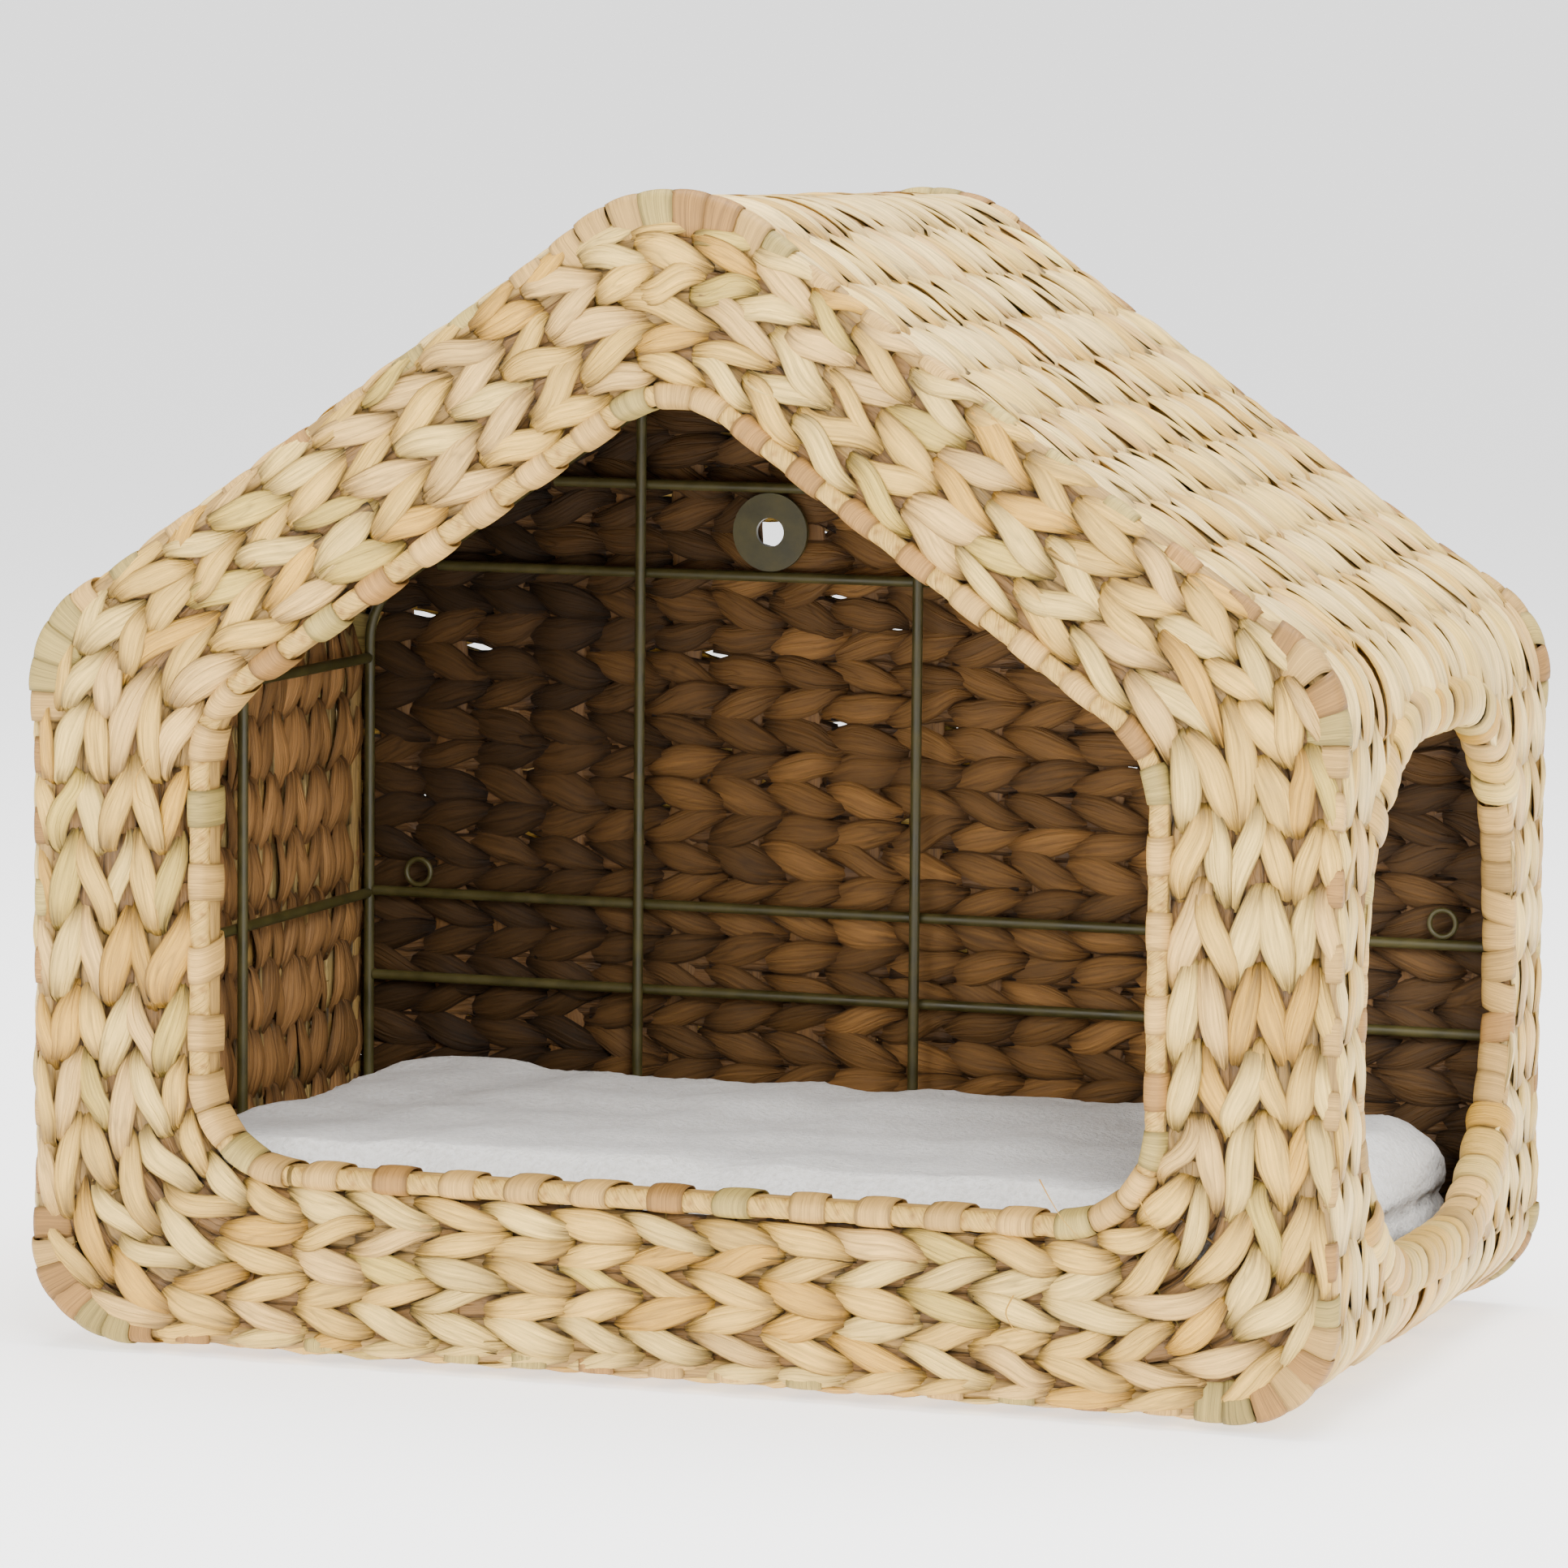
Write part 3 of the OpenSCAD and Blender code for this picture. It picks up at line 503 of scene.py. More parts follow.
class Shader:
    """A material and the tools that add and join its nodes."""

    def __init__(self, name, roughness, specular=0.4, sheen=0.0, sheen_roughness=0.5):
        self.material = bpy.data.materials.new(name)
        self.material.use_nodes = True
        self.tree = self.material.node_tree
        self.base = self.tree.nodes["Principled BSDF"]
        self.feed(self.base, {"Roughness": roughness, "Specular IOR Level": specular,
                              "Sheen Weight": sheen, "Sheen Roughness": sheen_roughness})

    def feed(self, node, inputs):
        """Sets inputs of a node, each to a value or to what another node gives."""
        for socket, value in inputs.items():
            if isinstance(value, bpy.types.NodeSocket):
                self.tree.links.new(value, node.inputs[socket])
            else:
                node.inputs[socket].default_value = value

    def add(self, kind, output, inputs, **settings):
        """What a new node gives."""
        node = self.tree.nodes.new(f"ShaderNode{kind}")
        for setting, value in settings.items():
            setattr(node, setting, value)
        self.feed(node, inputs)
        return node.outputs[output]

    def place(self):
        return self.add("TexCoord", "Object", {})

    def noise(self, vector, scale, detail=4.0, rough=0.55):
        return self.add("TexNoise", "Fac", {
            "Vector": vector, "Scale": scale, "Detail": detail, "Roughness": rough})

    def stretched(self, vector, scale):
        return self.add("Mapping", "Vector", {"Vector": vector, "Scale": scale})

    def to_range(self, value, low, high, from_low=0.3, from_high=0.7):
        return self.add("MapRange", "Result", {
            "Value": value, "From Min": from_low, "From Max": from_high, "To Min": low, "To Max": high})

    def product(self, first, second):
        return self.add("Math", "Value", {0: first, 1: second}, operation="MULTIPLY")

    def away_from(self, value, middle):
        """How far a value lies from a middle one."""
        off = self.add("Math", "Value", {0: value, 1: middle}, operation="SUBTRACT")
        return self.add("Math", "Value", {0: off}, operation="ABSOLUTE")

    def scaled_colour(self, colour, value):
        return self.add("VectorMath", "Vector", {0: colour, "Scale": value}, operation="SCALE")

    def blend(self, value, low, high, dark, light):
        """dark up to the low value, light from the high one on."""
        colour = self.add("ValToRGB", "Color", {"Fac": value})
        for element, position, shade in zip(colour.node.color_ramp.elements, (low, high), (dark, light)):
            element.color = (*shade, 1)
            element.position = position
        return colour

    def bump(self, height, strength, distance):
        normal = self.add("Bump", "Normal", {"Height": height, "Strength": strength, "Distance": distance})
        self.feed(self.base, {"Normal": normal})


def fibre_material(name, roughness, lines, bump, specular=0.45):
    """Dried plant fibre: the strand's own colour with fine lines along it, blotches and a soft gloss, and
    painted shade along its creases and between the pleats at its ends.
    """
    s = Shader(name, roughness, specular)
    tint = s.add("Attribute", "Color", {}, attribute_name="tint")
    smoothness = tint.node.outputs["Alpha"]
    grain = s.add("UVMap", "UV", {}, uv_map="grain")
    fine = s.noise(s.stretched(grain, (5, 130, 1)), lines, 5.0, 0.6)
    broad = s.noise(s.stretched(grain, (3, 36, 1)), lines, 2.0, 0.5)
    fold = s.noise(s.stretched(grain, (1.5, 24, 1)), lines, 1.0, 0.4)
    blotch = s.noise(s.place(), 60.0, 3.0)
    # crease and pleats are painted shade: dark lines along the folds, and between the pleats where the strand
    # is pleated
    crease = s.to_range(s.away_from(fold, 0.5), 0.72, 1.0, 0.0, 0.02)
    pleated = s.to_range(smoothness, 1.0, 0.0, 0.0, 1.0)
    stripe = s.to_range(broad, 1.0, 0.0, 0.46, 0.56)
    pleats = s.to_range(s.product(pleated, stripe), 1.0, 0.4, 0.0, 1.0)
    lined = s.product(s.to_range(fine, 0.62, 1.24), s.product(crease, pleats))
    patched = s.product(s.to_range(broad, 0.9, 1.07), s.to_range(blotch, 0.92, 1.05))
    s.feed(s.base, {"Base Color": s.scaled_colour(tint, s.product(lined, patched)),
                    "Roughness": s.to_range(fine, roughness - 0.08, roughness + 0.12)})
    height = s.product(fine, s.to_range(broad, 0.6, 1.0))
    height = s.product(height, s.to_range(smoothness, 2.0, 1.0, 0.0, 1.0))
    s.bump(s.product(height, crease), bump, 0.001)
    return s.material


def wire_material():
    """Olive lacquered wire with small dull patches."""
    s = Shader("olive_wire", 0.42, 0.5)
    place = s.place()
    patches = s.noise(place, 90.0, 5.0)
    s.feed(s.base, {"Base Color": s.blend(patches, 0.35, 0.7, linear(58, 53, 22), linear(82, 75, 36)),
                    "Roughness": s.to_range(patches, 0.34, 0.56)})
    s.bump(s.noise(place, 900.0, 3.0), 0.15, 0.0003)
    return s.material


def fleece_material():
    """White short-pile fleece."""
    s = Shader("fleece", 0.95, 0.1, 0.5, 0.4)
    place = s.place()
    tufts = s.noise(place, 420.0, 4.0, 0.65)
    clumps = s.noise(place, 60.0, 3.0)
    pile = s.product(tufts, s.to_range(clumps, 0.85, 1.2))
    s.feed(s.base, {"Base Color": s.blend(pile, 0.3, 0.62, linear(224, 221, 214), linear(247, 245, 241))})
    s.bump(tufts, 0.9, 0.0022)
    return s.material


LEAF = fibre_material("leaf_strand", 0.42, 1.0, 1.3)
STAKE = fibre_material("stake_strip", 0.56, 1.2, 0.5, 0.35)
INNER_LEAF = fibre_material("inner_leaf_strand", 0.56, 1.0, 1.1, 0.25)
WIRE = wire_material()
FLEECE = fleece_material()


def dress(piece, material, slot, *replaced):
    """Gives a piece of the house its material and body, and hides the CAD nodes that it stands for. slot is
    not used.
    """
    piece.data.materials.append(material)
    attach(piece, "house")
    if replaced:
        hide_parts(*replaced)


# ---- Camera, light and floor ----

CAMERA_PLACE = np.array([868.1, -2476.2, 468.8])
CAMERA_YAW, CAMERA_PITCH, CAMERA_ROLL = 0.340, 0.103, 0.009
CAMERA_LENS = 167.2
SENSOR = 36.0


def make_camera():
    toward = np.array([
        -math.sin(CAMERA_YAW) * math.cos(CAMERA_PITCH), math.cos(CAMERA_YAW) * math.cos(CAMERA_PITCH),
        -math.sin(CAMERA_PITCH)])
    right = np.array([math.cos(CAMERA_YAW), math.sin(CAMERA_YAW), 0.0])
    up = np.cross(right, toward)
    level = math.cos(CAMERA_ROLL) * right + math.sin(CAMERA_ROLL) * up
    upright = -math.sin(CAMERA_ROLL) * right + math.cos(CAMERA_ROLL) * up
    data = bpy.data.cameras.new("camera")
    data.lens = CAMERA_LENS
    data.sensor_width = SENSOR
    data.clip_start, data.clip_end = 0.1, 100.0
    camera = bpy.data.objects.new("camera", data)
    turn = Matrix((level, upright, -toward)).transposed().to_4x4()
    camera.matrix_world = Matrix.Translation(Vector(CAMERA_PLACE * MM)) @ turn
    bpy.context.scene.collection.objects.link(camera)
    bpy.context.scene.camera = camera


# Each light's name, place, aim, size and power, in metres and watts
LIGHTS = [
    ("key", (1.5, -2.3, 1.5), (0, 0, 0.2), (1.2, 1.2), 82),
    ("fill", (-1.3, -2.4, 1.4), (0, 0, 0.2), (1.6, 1.4), 45),
    ("top", (0.3, 0.1, 2.4), (0, 0, 0.1), (2.0, 2.0), 136),
]
WORLD_LIGHT = 0.6
FLOOR_FLAT = 5000.0  # radius of the flat part of the studio floor
FLOOR_BEND = 10000.0  # radius at which it then curves up
FLOOR_TURN = 0.65  # angle that it turns through
FLOOR_GAP = 1.0  # how far it lies under the house
FLOOR_GLOW = 1.2


def area_light(name, place, aim, size, power):
    data = bpy.data.lights.new(name, "AREA")
    data.shape = "RECTANGLE"
    data.size, data.size_y = size
    data.energy = power
    light = bpy.data.objects.new(name, data)
    light.location = place
    light.rotation_mode = "QUATERNION"
    light.rotation_quaternion = (Vector(aim) - Vector(place)).to_track_quat("-Z", "Y")
    bpy.context.scene.collection.objects.link(light)


def make_studio():
    """Soft light from above on both sides, and a pale floor that curves up all round."""
    for light in LIGHTS:
        area_light(*light)
    world = bpy.data.worlds.new("studio")
    world.use_nodes = True
    sky = world.node_tree.nodes["Background"].inputs
    sky["Color"].default_value = (1, 1, 1, 1)
    sky["Strength"].default_value = WORLD_LIGHT
    bpy.context.scene.world = world
    turn = np.linspace(0, FLOOR_TURN, 14)
    radius = np.concatenate([[FLOOR_FLAT / 2], FLOOR_FLAT + FLOOR_BEND * np.sin(turn)])
    height = np.concatenate([[0], FLOOR_BEND * (1 - np.cos(turn))]) - FLOOR_GAP
    around = 64
    way = ray(round_turn(around))
    rings = [np.c_[r * way, np.full(around, z)] for r, z in zip(radius, height)]
    faces = tube_faces(1, len(rings), around, caps=False)
    floor = make_object("floor", np.concatenate(rings), [*faces, list(range(around))[::-1]])
    s = Shader("pale_floor", 0.9, 0.1)
    s.feed(s.base, {"Base Color": (0.95, 0.95, 0.95, 1), "Emission Color": (1, 1, 1, 1),
                    "Emission Strength": FLOOR_GLOW})
    floor.data.materials.append(s.material)


# ---- The rounded edge between the front or back face and the girth ----

EDGE_R = 8.0
EDGE_TURN = 1.7  # the skin bends round the edge by this angle at most


def rolled(reach, high):
    """Bends the skin round an edge.

    reach is the distance to the edge along the outer surface and high the height over the middle of the
    skin. The result is the distance from the neighbouring face and the depth below this one.
    """
    turn = np.clip((EDGE_R - reach) / EDGE_R, 0, EDGE_TURN)
    radius = EDGE_R - SKIN / 2 + high
    beside = np.where(turn > 0, EDGE_R - radius * np.sin(turn), reach)
    below = np.where(turn > 0, EDGE_R - radius * np.cos(turn), SKIN / 2 - high)
    return beside, below


def weave_panel(name, part, place, strands, way, outer, inner, cores, replaced):
    """A panel's outer and inner strands and their cores.

    strands holds their stakes, rows and leans. outer, inner and cores each hold colours, a seed and a shape.
    """
    number, rows, lean = strands
    for layer, leaning, (mix, seed, shape), finish, nodes in (
            ("outer", lean, outer, LEAF, replaced), ("inner", -lean, inner, INNER_LEAF, [])):
        made = leaf_strands(f"{name}_weave_{layer}{part}", place, rows, number, leaning, way, mix, seed,
                            **shape)
        dress(made, finish, "weave", *nodes)
    mix, seed, shape = cores
    dress(weft_cores(f"{name}_weft_cores{part}", place, rows, number, mix, seed, **shape), LEAF, "weave")


def grid(stakes, rows):
    """Every pairing of a stake number and a row's index, and the way the strands of that row lean."""
    number, k = np.meshgrid(stakes, rows, indexing="ij")
    number, k = number.ravel().astype(float), k.ravel()
    return number, k, np.where(k % 2 == 0, 1.0, -1.0)


# ---- Front panel ----

FRONT_ROWS = 6
FRONT_SEED = 11
FRONT_OUTSIDE = {"along": 15, "around": 12}
FRONT_INSIDE = {"along": 9, "around": 8, "width": 12.4, "tip": 0.7, "side": -1}
BAND_IN = RIM_R * 2  # from the opening to the first row
BAND_EDGE = 1.0  # from the last row to the edge, along the sides
BAND_OUTER = Outline(HOUSE_POINTS, [57.0, 96.0, 92.0, 96.0, 57.0]).grown(-BAND_EDGE)
RIM = OPENING.grown(BAND_IN)
INNER_DEPTH, OUTER_DEPTH = 15.0, 55.0  # from the rim to the middle of the inner and the outer rows
FAN_PITCH = 24.2
LONGEST_REACH = 200.0  # more than the band's width anywhere
HALVINGS = 30


def fanned(outline, depth):
    """Places along an outline: even on the sides, and in each corner as many as fit that deep off the rim."""
    places = []
    for i, (_centre, radius, _normal, turned) in enumerate(RIM.corners):
        count = round(turned * (radius + depth) / FAN_PITCH)
        begin, end = outline.arc_span(i)
        places.extend(begin + (np.arange(count) + 0.5) * (end - begin) / count)
        places.extend(spaced(outline.side_span(i), STAKE_PITCH))
    return np.array(places)


def reach_table():
    """Distance from the rim to the outer edge of the front band, by place along the rim."""
    s = np.linspace(0, RIM.length, 2 * OUTLINE_STEPS + 1)
    point, out = RIM.at(s)
    low, high = np.zeros(len(s)), np.full(len(s), LONGEST_REACH)
    for _ in range(HALVINGS):
        middle = (low + high) / 2
        depth, normal = BAND_OUTER.inside_by(point + out * middle[:, None])
        low = np.where(depth > 0, middle, low)
        high = np.where(depth > 0, high, middle)
    return s, low + swell(normal, -HALF_D)


REACH_S, REACH = reach_table()


def looped(places, length):
    """A map from stake number to place along a closed outline, past both ends."""
    count = len(places)
    number = np.arange(-count, 2 * count)
    return number, np.concatenate([places - length, places, places + length])


def front_placer(stakes):
    """A placing function for the strands on the given stakes. row runs from 0 at the rim to 1 at the edge."""
    stake_map = looped(stakes, RIM.length)

    def place(q, row, across, high):
        s = np.interp(q, *stake_map)
        point, out = RIM.at(s)
        reach = np.interp(np.mod(s, RIM.length), REACH_S, REACH)
        beside, below = rolled(reach - (row * reach + across) + BAND_EDGE, high)
        flat = point + out * (reach + BAND_EDGE - beside)[..., None]
        return np.stack([flat[..., 0], below - HALF_D, flat[..., 1]], -1)

    return place


def make_front():
    """Rows near the rim stand on fewer stakes than the outer rows, which have longer corners to go round."""
    for part, depth, first, last in (("_near", INNER_DEPTH, 0, 3), ("_far", OUTER_DEPTH, 3, FRONT_ROWS)):
        stakes = fanned(RIM, depth)
        place = front_placer(stakes)
        numbers = np.arange(len(stakes))
        number, k, lean = grid(numbers, np.arange(first, last))
        rows = (k + 0.5) / FRONT_ROWS
        seed = FRONT_SEED + first
        weave, strips = (["front_weave"], ["front_stakes"]) if first == 0 else ([], [])
        weave_panel("front", part, place, (number, rows, lean), -1, (OUTER_MIX, seed, FRONT_OUTSIDE),
                    (INNER_IN_SHADE_MIX, seed + 1, FRONT_INSIDE), (FRONT_CORE_MIX, seed + 3, {}), weave)
        ends = np.tile([[first / FRONT_ROWS - 0.02, last / FRONT_ROWS]], (len(stakes), 1))
        dress(stake_strips(f"front_stake_strips{part}", place, ends, numbers.astype(float), seed + 2),
              STAKE, "stakes", *strips)


# ---- Girth: floor, walls and roof ----

GIRTH_COLUMNS = 26
GIRTH_EDGE = 7.0  # from a face to the middle of the first column
GIRTH_CORE = {"width": 12.6, "crown": 2.3}
GIRTH_SWELL = 9.0  # how far the first columns keep off the bound edge at a corner
SWELL_FROM = 60.0  # at this depth from the middle they start to
CORNER_PAST = 14.0  # how far past a bend that reaches
DOOR_CLEAR = 1.5  # from the doorway's outline to the strands
DOOR_STAKES_CLEAR = 3.0
# contact sets the painted shade along the strands' edges and at their ends
ROOF_SHAPE = {"width": 12.8, "rise": 2.5, "crown": 1.3, "sway": 2.5, "contact": 0.25}
WALL_SHAPE = {"width": 12.4, "rise": 3.0, "crown": 1.4, "sway": 2.9, "contact": 0.42}
INSIDE_SHAPE = {"along": 9, "around": 8, "width": 13.2, "sway": 3.0, "span": 1.5, "tip": 0.7, "side": -1}
# Each panel's colours outside and inside, seed and shape of the outer strands
GIRTH_PANELS = {
    "left_roof": (ROOF_MIX, INNER_IN_SHADE_MIX, 21, ROOF_SHAPE),
    "right_roof": (ROOF_MIX, INNER_IN_SHADE_MIX, 31, ROOF_SHAPE),
    "left_wall": (ROOF_MIX, LIT_INNER_MIX, 41, WALL_SHAPE),
    "right_wall": (ROOF_MIX, INNER_IN_SHADE_MIX, 51, WALL_SHAPE),
    "floor": (OUTER_MIX, INNER_IN_SHADE_MIX, 61, {**WALL_SHAPE, "along": 9, "around": 8}),
}
GIRTH_STRIPS_SEED = 71


def girth_stakes_at():
    """Places of the stakes along the middle of the skin, and the panel that each belongs to."""
    begin, end = SHELL.arc_span(RIDGE)
    middle = (begin + end) / 2
    stretches = [
        (SHELL.arc_span(BOTTOM_LEFT), "left_wall"), (SHELL.side_span(BOTTOM_LEFT), "left_wall"),
        (SHELL.arc_span(LEFT_EAVE), "left_roof"), (SHELL.side_span(LEFT_EAVE), "left_roof"),
        ((begin, middle), "left_roof"), ((middle, end), "right_roof"),
        (SHELL.side_span(RIDGE), "right_roof"), (SHELL.arc_span(RIGHT_EAVE), "right_roof"),
        (SHELL.side_span(RIGHT_EAVE), "right_wall"), (SHELL.arc_span(BOTTOM_RIGHT), "right_wall"),
        (SHELL.side_span(BOTTOM_RIGHT), "floor"),
    ]
    places = [spaced(span, STAKE_PITCH) for span, _panel in stretches]
    panels = [[panel] * len(some) for some, (_span, panel) in zip(places, stretches)]
    return np.concatenate(places), np.concatenate(panels)


GIRTH_STAKES, GIRTH_PANEL = girth_stakes_at()
GIRTH_MAP = looped(GIRTH_STAKES, SHELL.length)


def corner_swell(s):
    """1 in the middle of each corner, 0 along the sides."""
    share = np.zeros_like(s)
    for i in range(len(SHELL.corners)):
        begin, end = SHELL.arc_span(i)
        middle, half = (begin + end) / 2, (end - begin) / 2 + CORNER_PAST
        away = np.abs((s - middle + SHELL.length / 2) % SHELL.length - SHELL.length / 2)
        share = np.maximum(share, np.cos(np.clip(away / half, 0, 1) * math.pi / 2) ** 2)
    return share


def place_girth(q, row, across, high):
    """row is the depth of the column."""
    s = np.mod(np.interp(q, *GIRTH_MAP), SHELL.length)
    point, out = SHELL.at(s)
    y = row + across
    beside, below = rolled(HALF_D - np.abs(y), high)
    near_edge = np.clip((np.abs(y) - SWELL_FROM) / (MID_Y - SWELL_FROM), 0, 1)
    y = np.sign(y) * (HALF_D - beside - near_edge * GIRTH_SWELL * corner_swell(s))
    bulge = swell(out, y) * swell_share(high)
    flat = point + out * (SKIN / 2 - below + bulge)[..., None]
    return np.stack([flat[..., 0], y, flat[..., 1]], -1)


def place_right_wall(q, row, across, high):
    """What lies in the doorway moves out to its edge."""
    points = place_girth(q, row, across, high)
    on_wall = (points[..., 0] > HALF_W - 2 * SKIN) & (points[..., 2] < EAVE_H)
    flat = points[on_wall][:, 1:3]
    depth, normal = DOOR.inside_by(flat)
    points[on_wall, 1:3] = flat + normal * np.maximum(depth + DOOR_CLEAR, 0)[:, None]
    return points


def doorway_depth(stakes, rows):
    """How far inside the doorway's outline the middle line of the skin lies."""
    middle = place_girth(stakes, rows, np.zeros_like(rows), np.zeros_like(rows))
    return DOOR.inside_by(middle[:, 1:3])[0]


def girth_strands(panel, place, outer_mix, inner_mix, seed, shape):
    """The strands of one panel of the girth, left out in the doorway."""
    columns = np.linspace(GIRTH_EDGE - HALF_D, HALF_D - GIRTH_EDGE, GIRTH_COLUMNS)
    number, k, lean = grid(np.nonzero(GIRTH_PANEL == panel)[0], np.arange(GIRTH_COLUMNS))
    rows = columns[k]
    if panel == "right_wall":
        keep = doorway_depth(number, rows) < -DOOR_CLEAR
        number, rows, lean = number[keep], rows[keep], lean[keep]
    weave_panel(panel, "", place, (number, rows, lean), 1, (outer_mix, seed, shape),
                (inner_mix, seed + 1, INSIDE_SHAPE), (GIRTH_CORE_MIX, seed + 2, GIRTH_CORE),
                [f"{panel}_weave"])


def girth_strips(panel, place, seed):
    """The panel's stakes; those that meet the doorway are cut there."""
    numbers, spans = [], []
    y = np.linspace(-MID_Y, MID_Y, 300)
    for n in np.nonzero(GIRTH_PANEL == panel)[0].astype(float):
        gap = []
        if panel == "right_wall":
            gap = np.nonzero(doorway_depth(np.full(len(y), n), y) > -DOOR_STAKES_CLEAR)[0]
        parts = [(-MID_Y, y[gap[0]]), (y[gap[-1]], MID_Y)] if len(gap) else [(-MID_Y, MID_Y)]
        numbers.extend([n] * len(parts))
        spans.extend(parts)
    strips = stake_strips(f"{panel}_stake_strips", place, np.array(spans), np.array(numbers), seed)
    dress(strips, STAKE, "stakes", f"{panel}_stakes")


def make_girth():
    placers = {panel: place_right_wall if panel == "right_wall" else place_girth for panel in GIRTH_PANELS}
    for panel, place in placers.items():
        girth_strands(panel, place, *GIRTH_PANELS[panel])
    for n, (panel, place) in enumerate(placers.items()):
        girth_strips(panel, place, GIRTH_STRIPS_SEED + n)


# ---- Back panel ----

BACK_INSET = 7.0  # from the outside of the house to the end of a back strand
BACK_LOWEST = 7.6  # height of the lowest row
BACK_ROW = 12.06  # from row to row: the screw gaps fall between two rows
BACK_EDGE = HOUSE.grown(-BACK_INSET)
BACK_PAST = 3.0  # how far past that line a strand's middle may lie
BACK_SEED = 81
BACK_CORE = {"width": 11.9}  # narrow enough to leave a slit of daylight here and there
BACK_OUTSIDE = {"width": 12.6, "sway": 3.2}
BACK_INSIDE = {"width": 13.4, "rise": 3.0, "sway": 3.7, "crown": 1.3, "span": 1.55, "tip": 0.75, "side": -1}
DISC_X, DISC_Z = 60.7, 279.0
SCREW_GAP = (7.5, 26.0)  # how far the rows part at a screw gap, and over which half length
SLIT = (2.0, 9.0)  # the same at a slit of daylight
# Each slit's place: stakes to the right of the middle, and the row below it
SLITS = [(-7.5, 18), (-6.5, 18), (-4.5, 18), (-6.5, 16), (-6.5, 14), (-3.5, 18), (-1.5, 20),
         (-1.5, 16), (0.5, 16), (-0.5, 19), (-6.5, 12), (-8.5, 19), (-8.5, 13), (3.5, 17), (5.5, 14)]
GAP_FADE = 14.0  # over this distance the rows close up again
# Painted shade on the inside of the back: where it darkens, the line it starts from, over what distance, and
# how much
LEFT_SHADE, RIGHT_SHADE, TOP_SHADE = (-40, 110, 0.72), (90, 80, 0.62), (240, 80, 0.35)


def parted(x, level, at_x, at_z, part, reach):
    """How far the rows at this level are pushed away from a gap."""
    near = np.clip(np.abs(x - at_x) / reach, 0, 1)
    off = level - at_z
    return np.sign(off) * part * np.cos(near * math.pi / 2) ** 2 * np.exp(
        -np.maximum(np.abs(off) - BACK_ROW / 2, 0) / GAP_FADE)


def place_back(q, row, across, high):
    """row is the height of the row."""
    x, y, z, level = np.broadcast_arrays(q * BACK_PITCH, MID_Y + high, row + across, row)
    z = z + parted(np.abs(x), level, DISC_X, DISC_Z, *SCREW_GAP)
    for slit_q, below in SLITS:
        z = z + parted(x, level, slit_q * BACK_PITCH, BACK_LOWEST + (below + 0.5) * BACK_ROW, *SLIT)
    flat = np.stack([x, z], -1)
    depth, normal = BACK_EDGE.inside_by(flat)
    flat = flat - normal * np.maximum(-depth, 0)[..., None]
    return np.stack([flat[..., 0], y, flat[..., 1]], -1)


def place_back_stake(q, row, across, high):
    """A stake runs straight past the screw gaps."""
    return np.stack(np.broadcast_arrays(q * BACK_PITCH + across, MID_Y + high, row), -1)


def back_shade(x, z):
    """Painted shade: the back's inside strands are darker towards its ends and under the roof."""
    shade = 1.0
    for value, way, (begin, over, loss) in ((x, -1, LEFT_SHADE), (x, 1, RIGHT_SHADE), (z, 1, TOP_SHADE)):
        shade = shade * (1 - loss * np.clip(way * (value - begin) / over, 0, 1))
    return shade


def make_back():
    reach = int((HALF_W - SKIN) // BACK_PITCH)
    numbers, levels = np.arange(-reach, reach + 1), np.arange(BACK_LOWEST, RIDGE_H, BACK_ROW)
    number, k, lean = grid(numbers, np.arange(len(levels)))
    depth, _normal = BACK_EDGE.inside_by(np.stack([number * BACK_PITCH, levels[k]], -1))
    keep = depth > -BACK_PAST
    number, rows, lean = number[keep], levels[k][keep], lean[keep]
    inside = {**BACK_INSIDE, "shade": back_shade(number * BACK_PITCH, rows)}
    weave_panel("back", "", place_back, (number, rows, lean), 1, (OUTER_MIX, BACK_SEED, BACK_OUTSIDE),
                (INNER_IN_SHADE_MIX, BACK_SEED + 1, inside), (DARK_MIX, BACK_SEED + 3, BACK_CORE), ["back_weave"])
    spans = []
    z = np.linspace(0, RIDGE_H, 500)
    for n in numbers:
        depth, _normal = BACK_EDGE.inside_by(np.stack([np.full(len(z), n * BACK_PITCH), z], -1))
        inside = z[depth > 0]
        spans.append((inside[0], inside[-1]))
    # the back's strips take the darkened core colours: painted shade
    strips = stake_strips("back_stake_strips", place_back_stake, np.array(spans), numbers.astype(float),
                          BACK_SEED + 2, steps=40, mix=DARK_MIX)
    dress(strips, STAKE, "stakes", "back_stakes")


# ---- Bound edges ----

SIDE_TUCK = 2.5  # how far a strap lies under the strands along a side
CORNER_STRAP = 10.5
CORNER_OVERLAP = 1.04  # width of a corner's strap, as a share of its pitch
CORNER_LEAD = 8.0  # how far the close straps of a corner run on along its sides
CORNER_TAIL = (11.5, 0.4, 1.6)  # how far they run under the weave, and how much thinner and deeper there
EDGE_SECTION = oval(-0.4, 6.2, 4.6, 4.8)
EDGE_CORE = (3.8, 3.8)
RIM_SEED = 112
RIM_DEEP = (RIM_R + HOOP_BACK + 1.9) / 2  # depth of the middle of the rim's straps, round rope and hoop
RIM_HALF = RIM_DEEP - 0.9
DOOR_BULGE = 2.5  # how far the doorway's edge stands out with the bulging wall
DOOR_SEED = 120
DOOR_PITCH = 11.2
DOOR_LOOP, DOOR_STRAP = 11.6, 11.8  # widths of the turned strands and of the straps
DOOR_UPRIGHT = 0.55  # the doorway's sides are where its outward normal rises or falls less than this


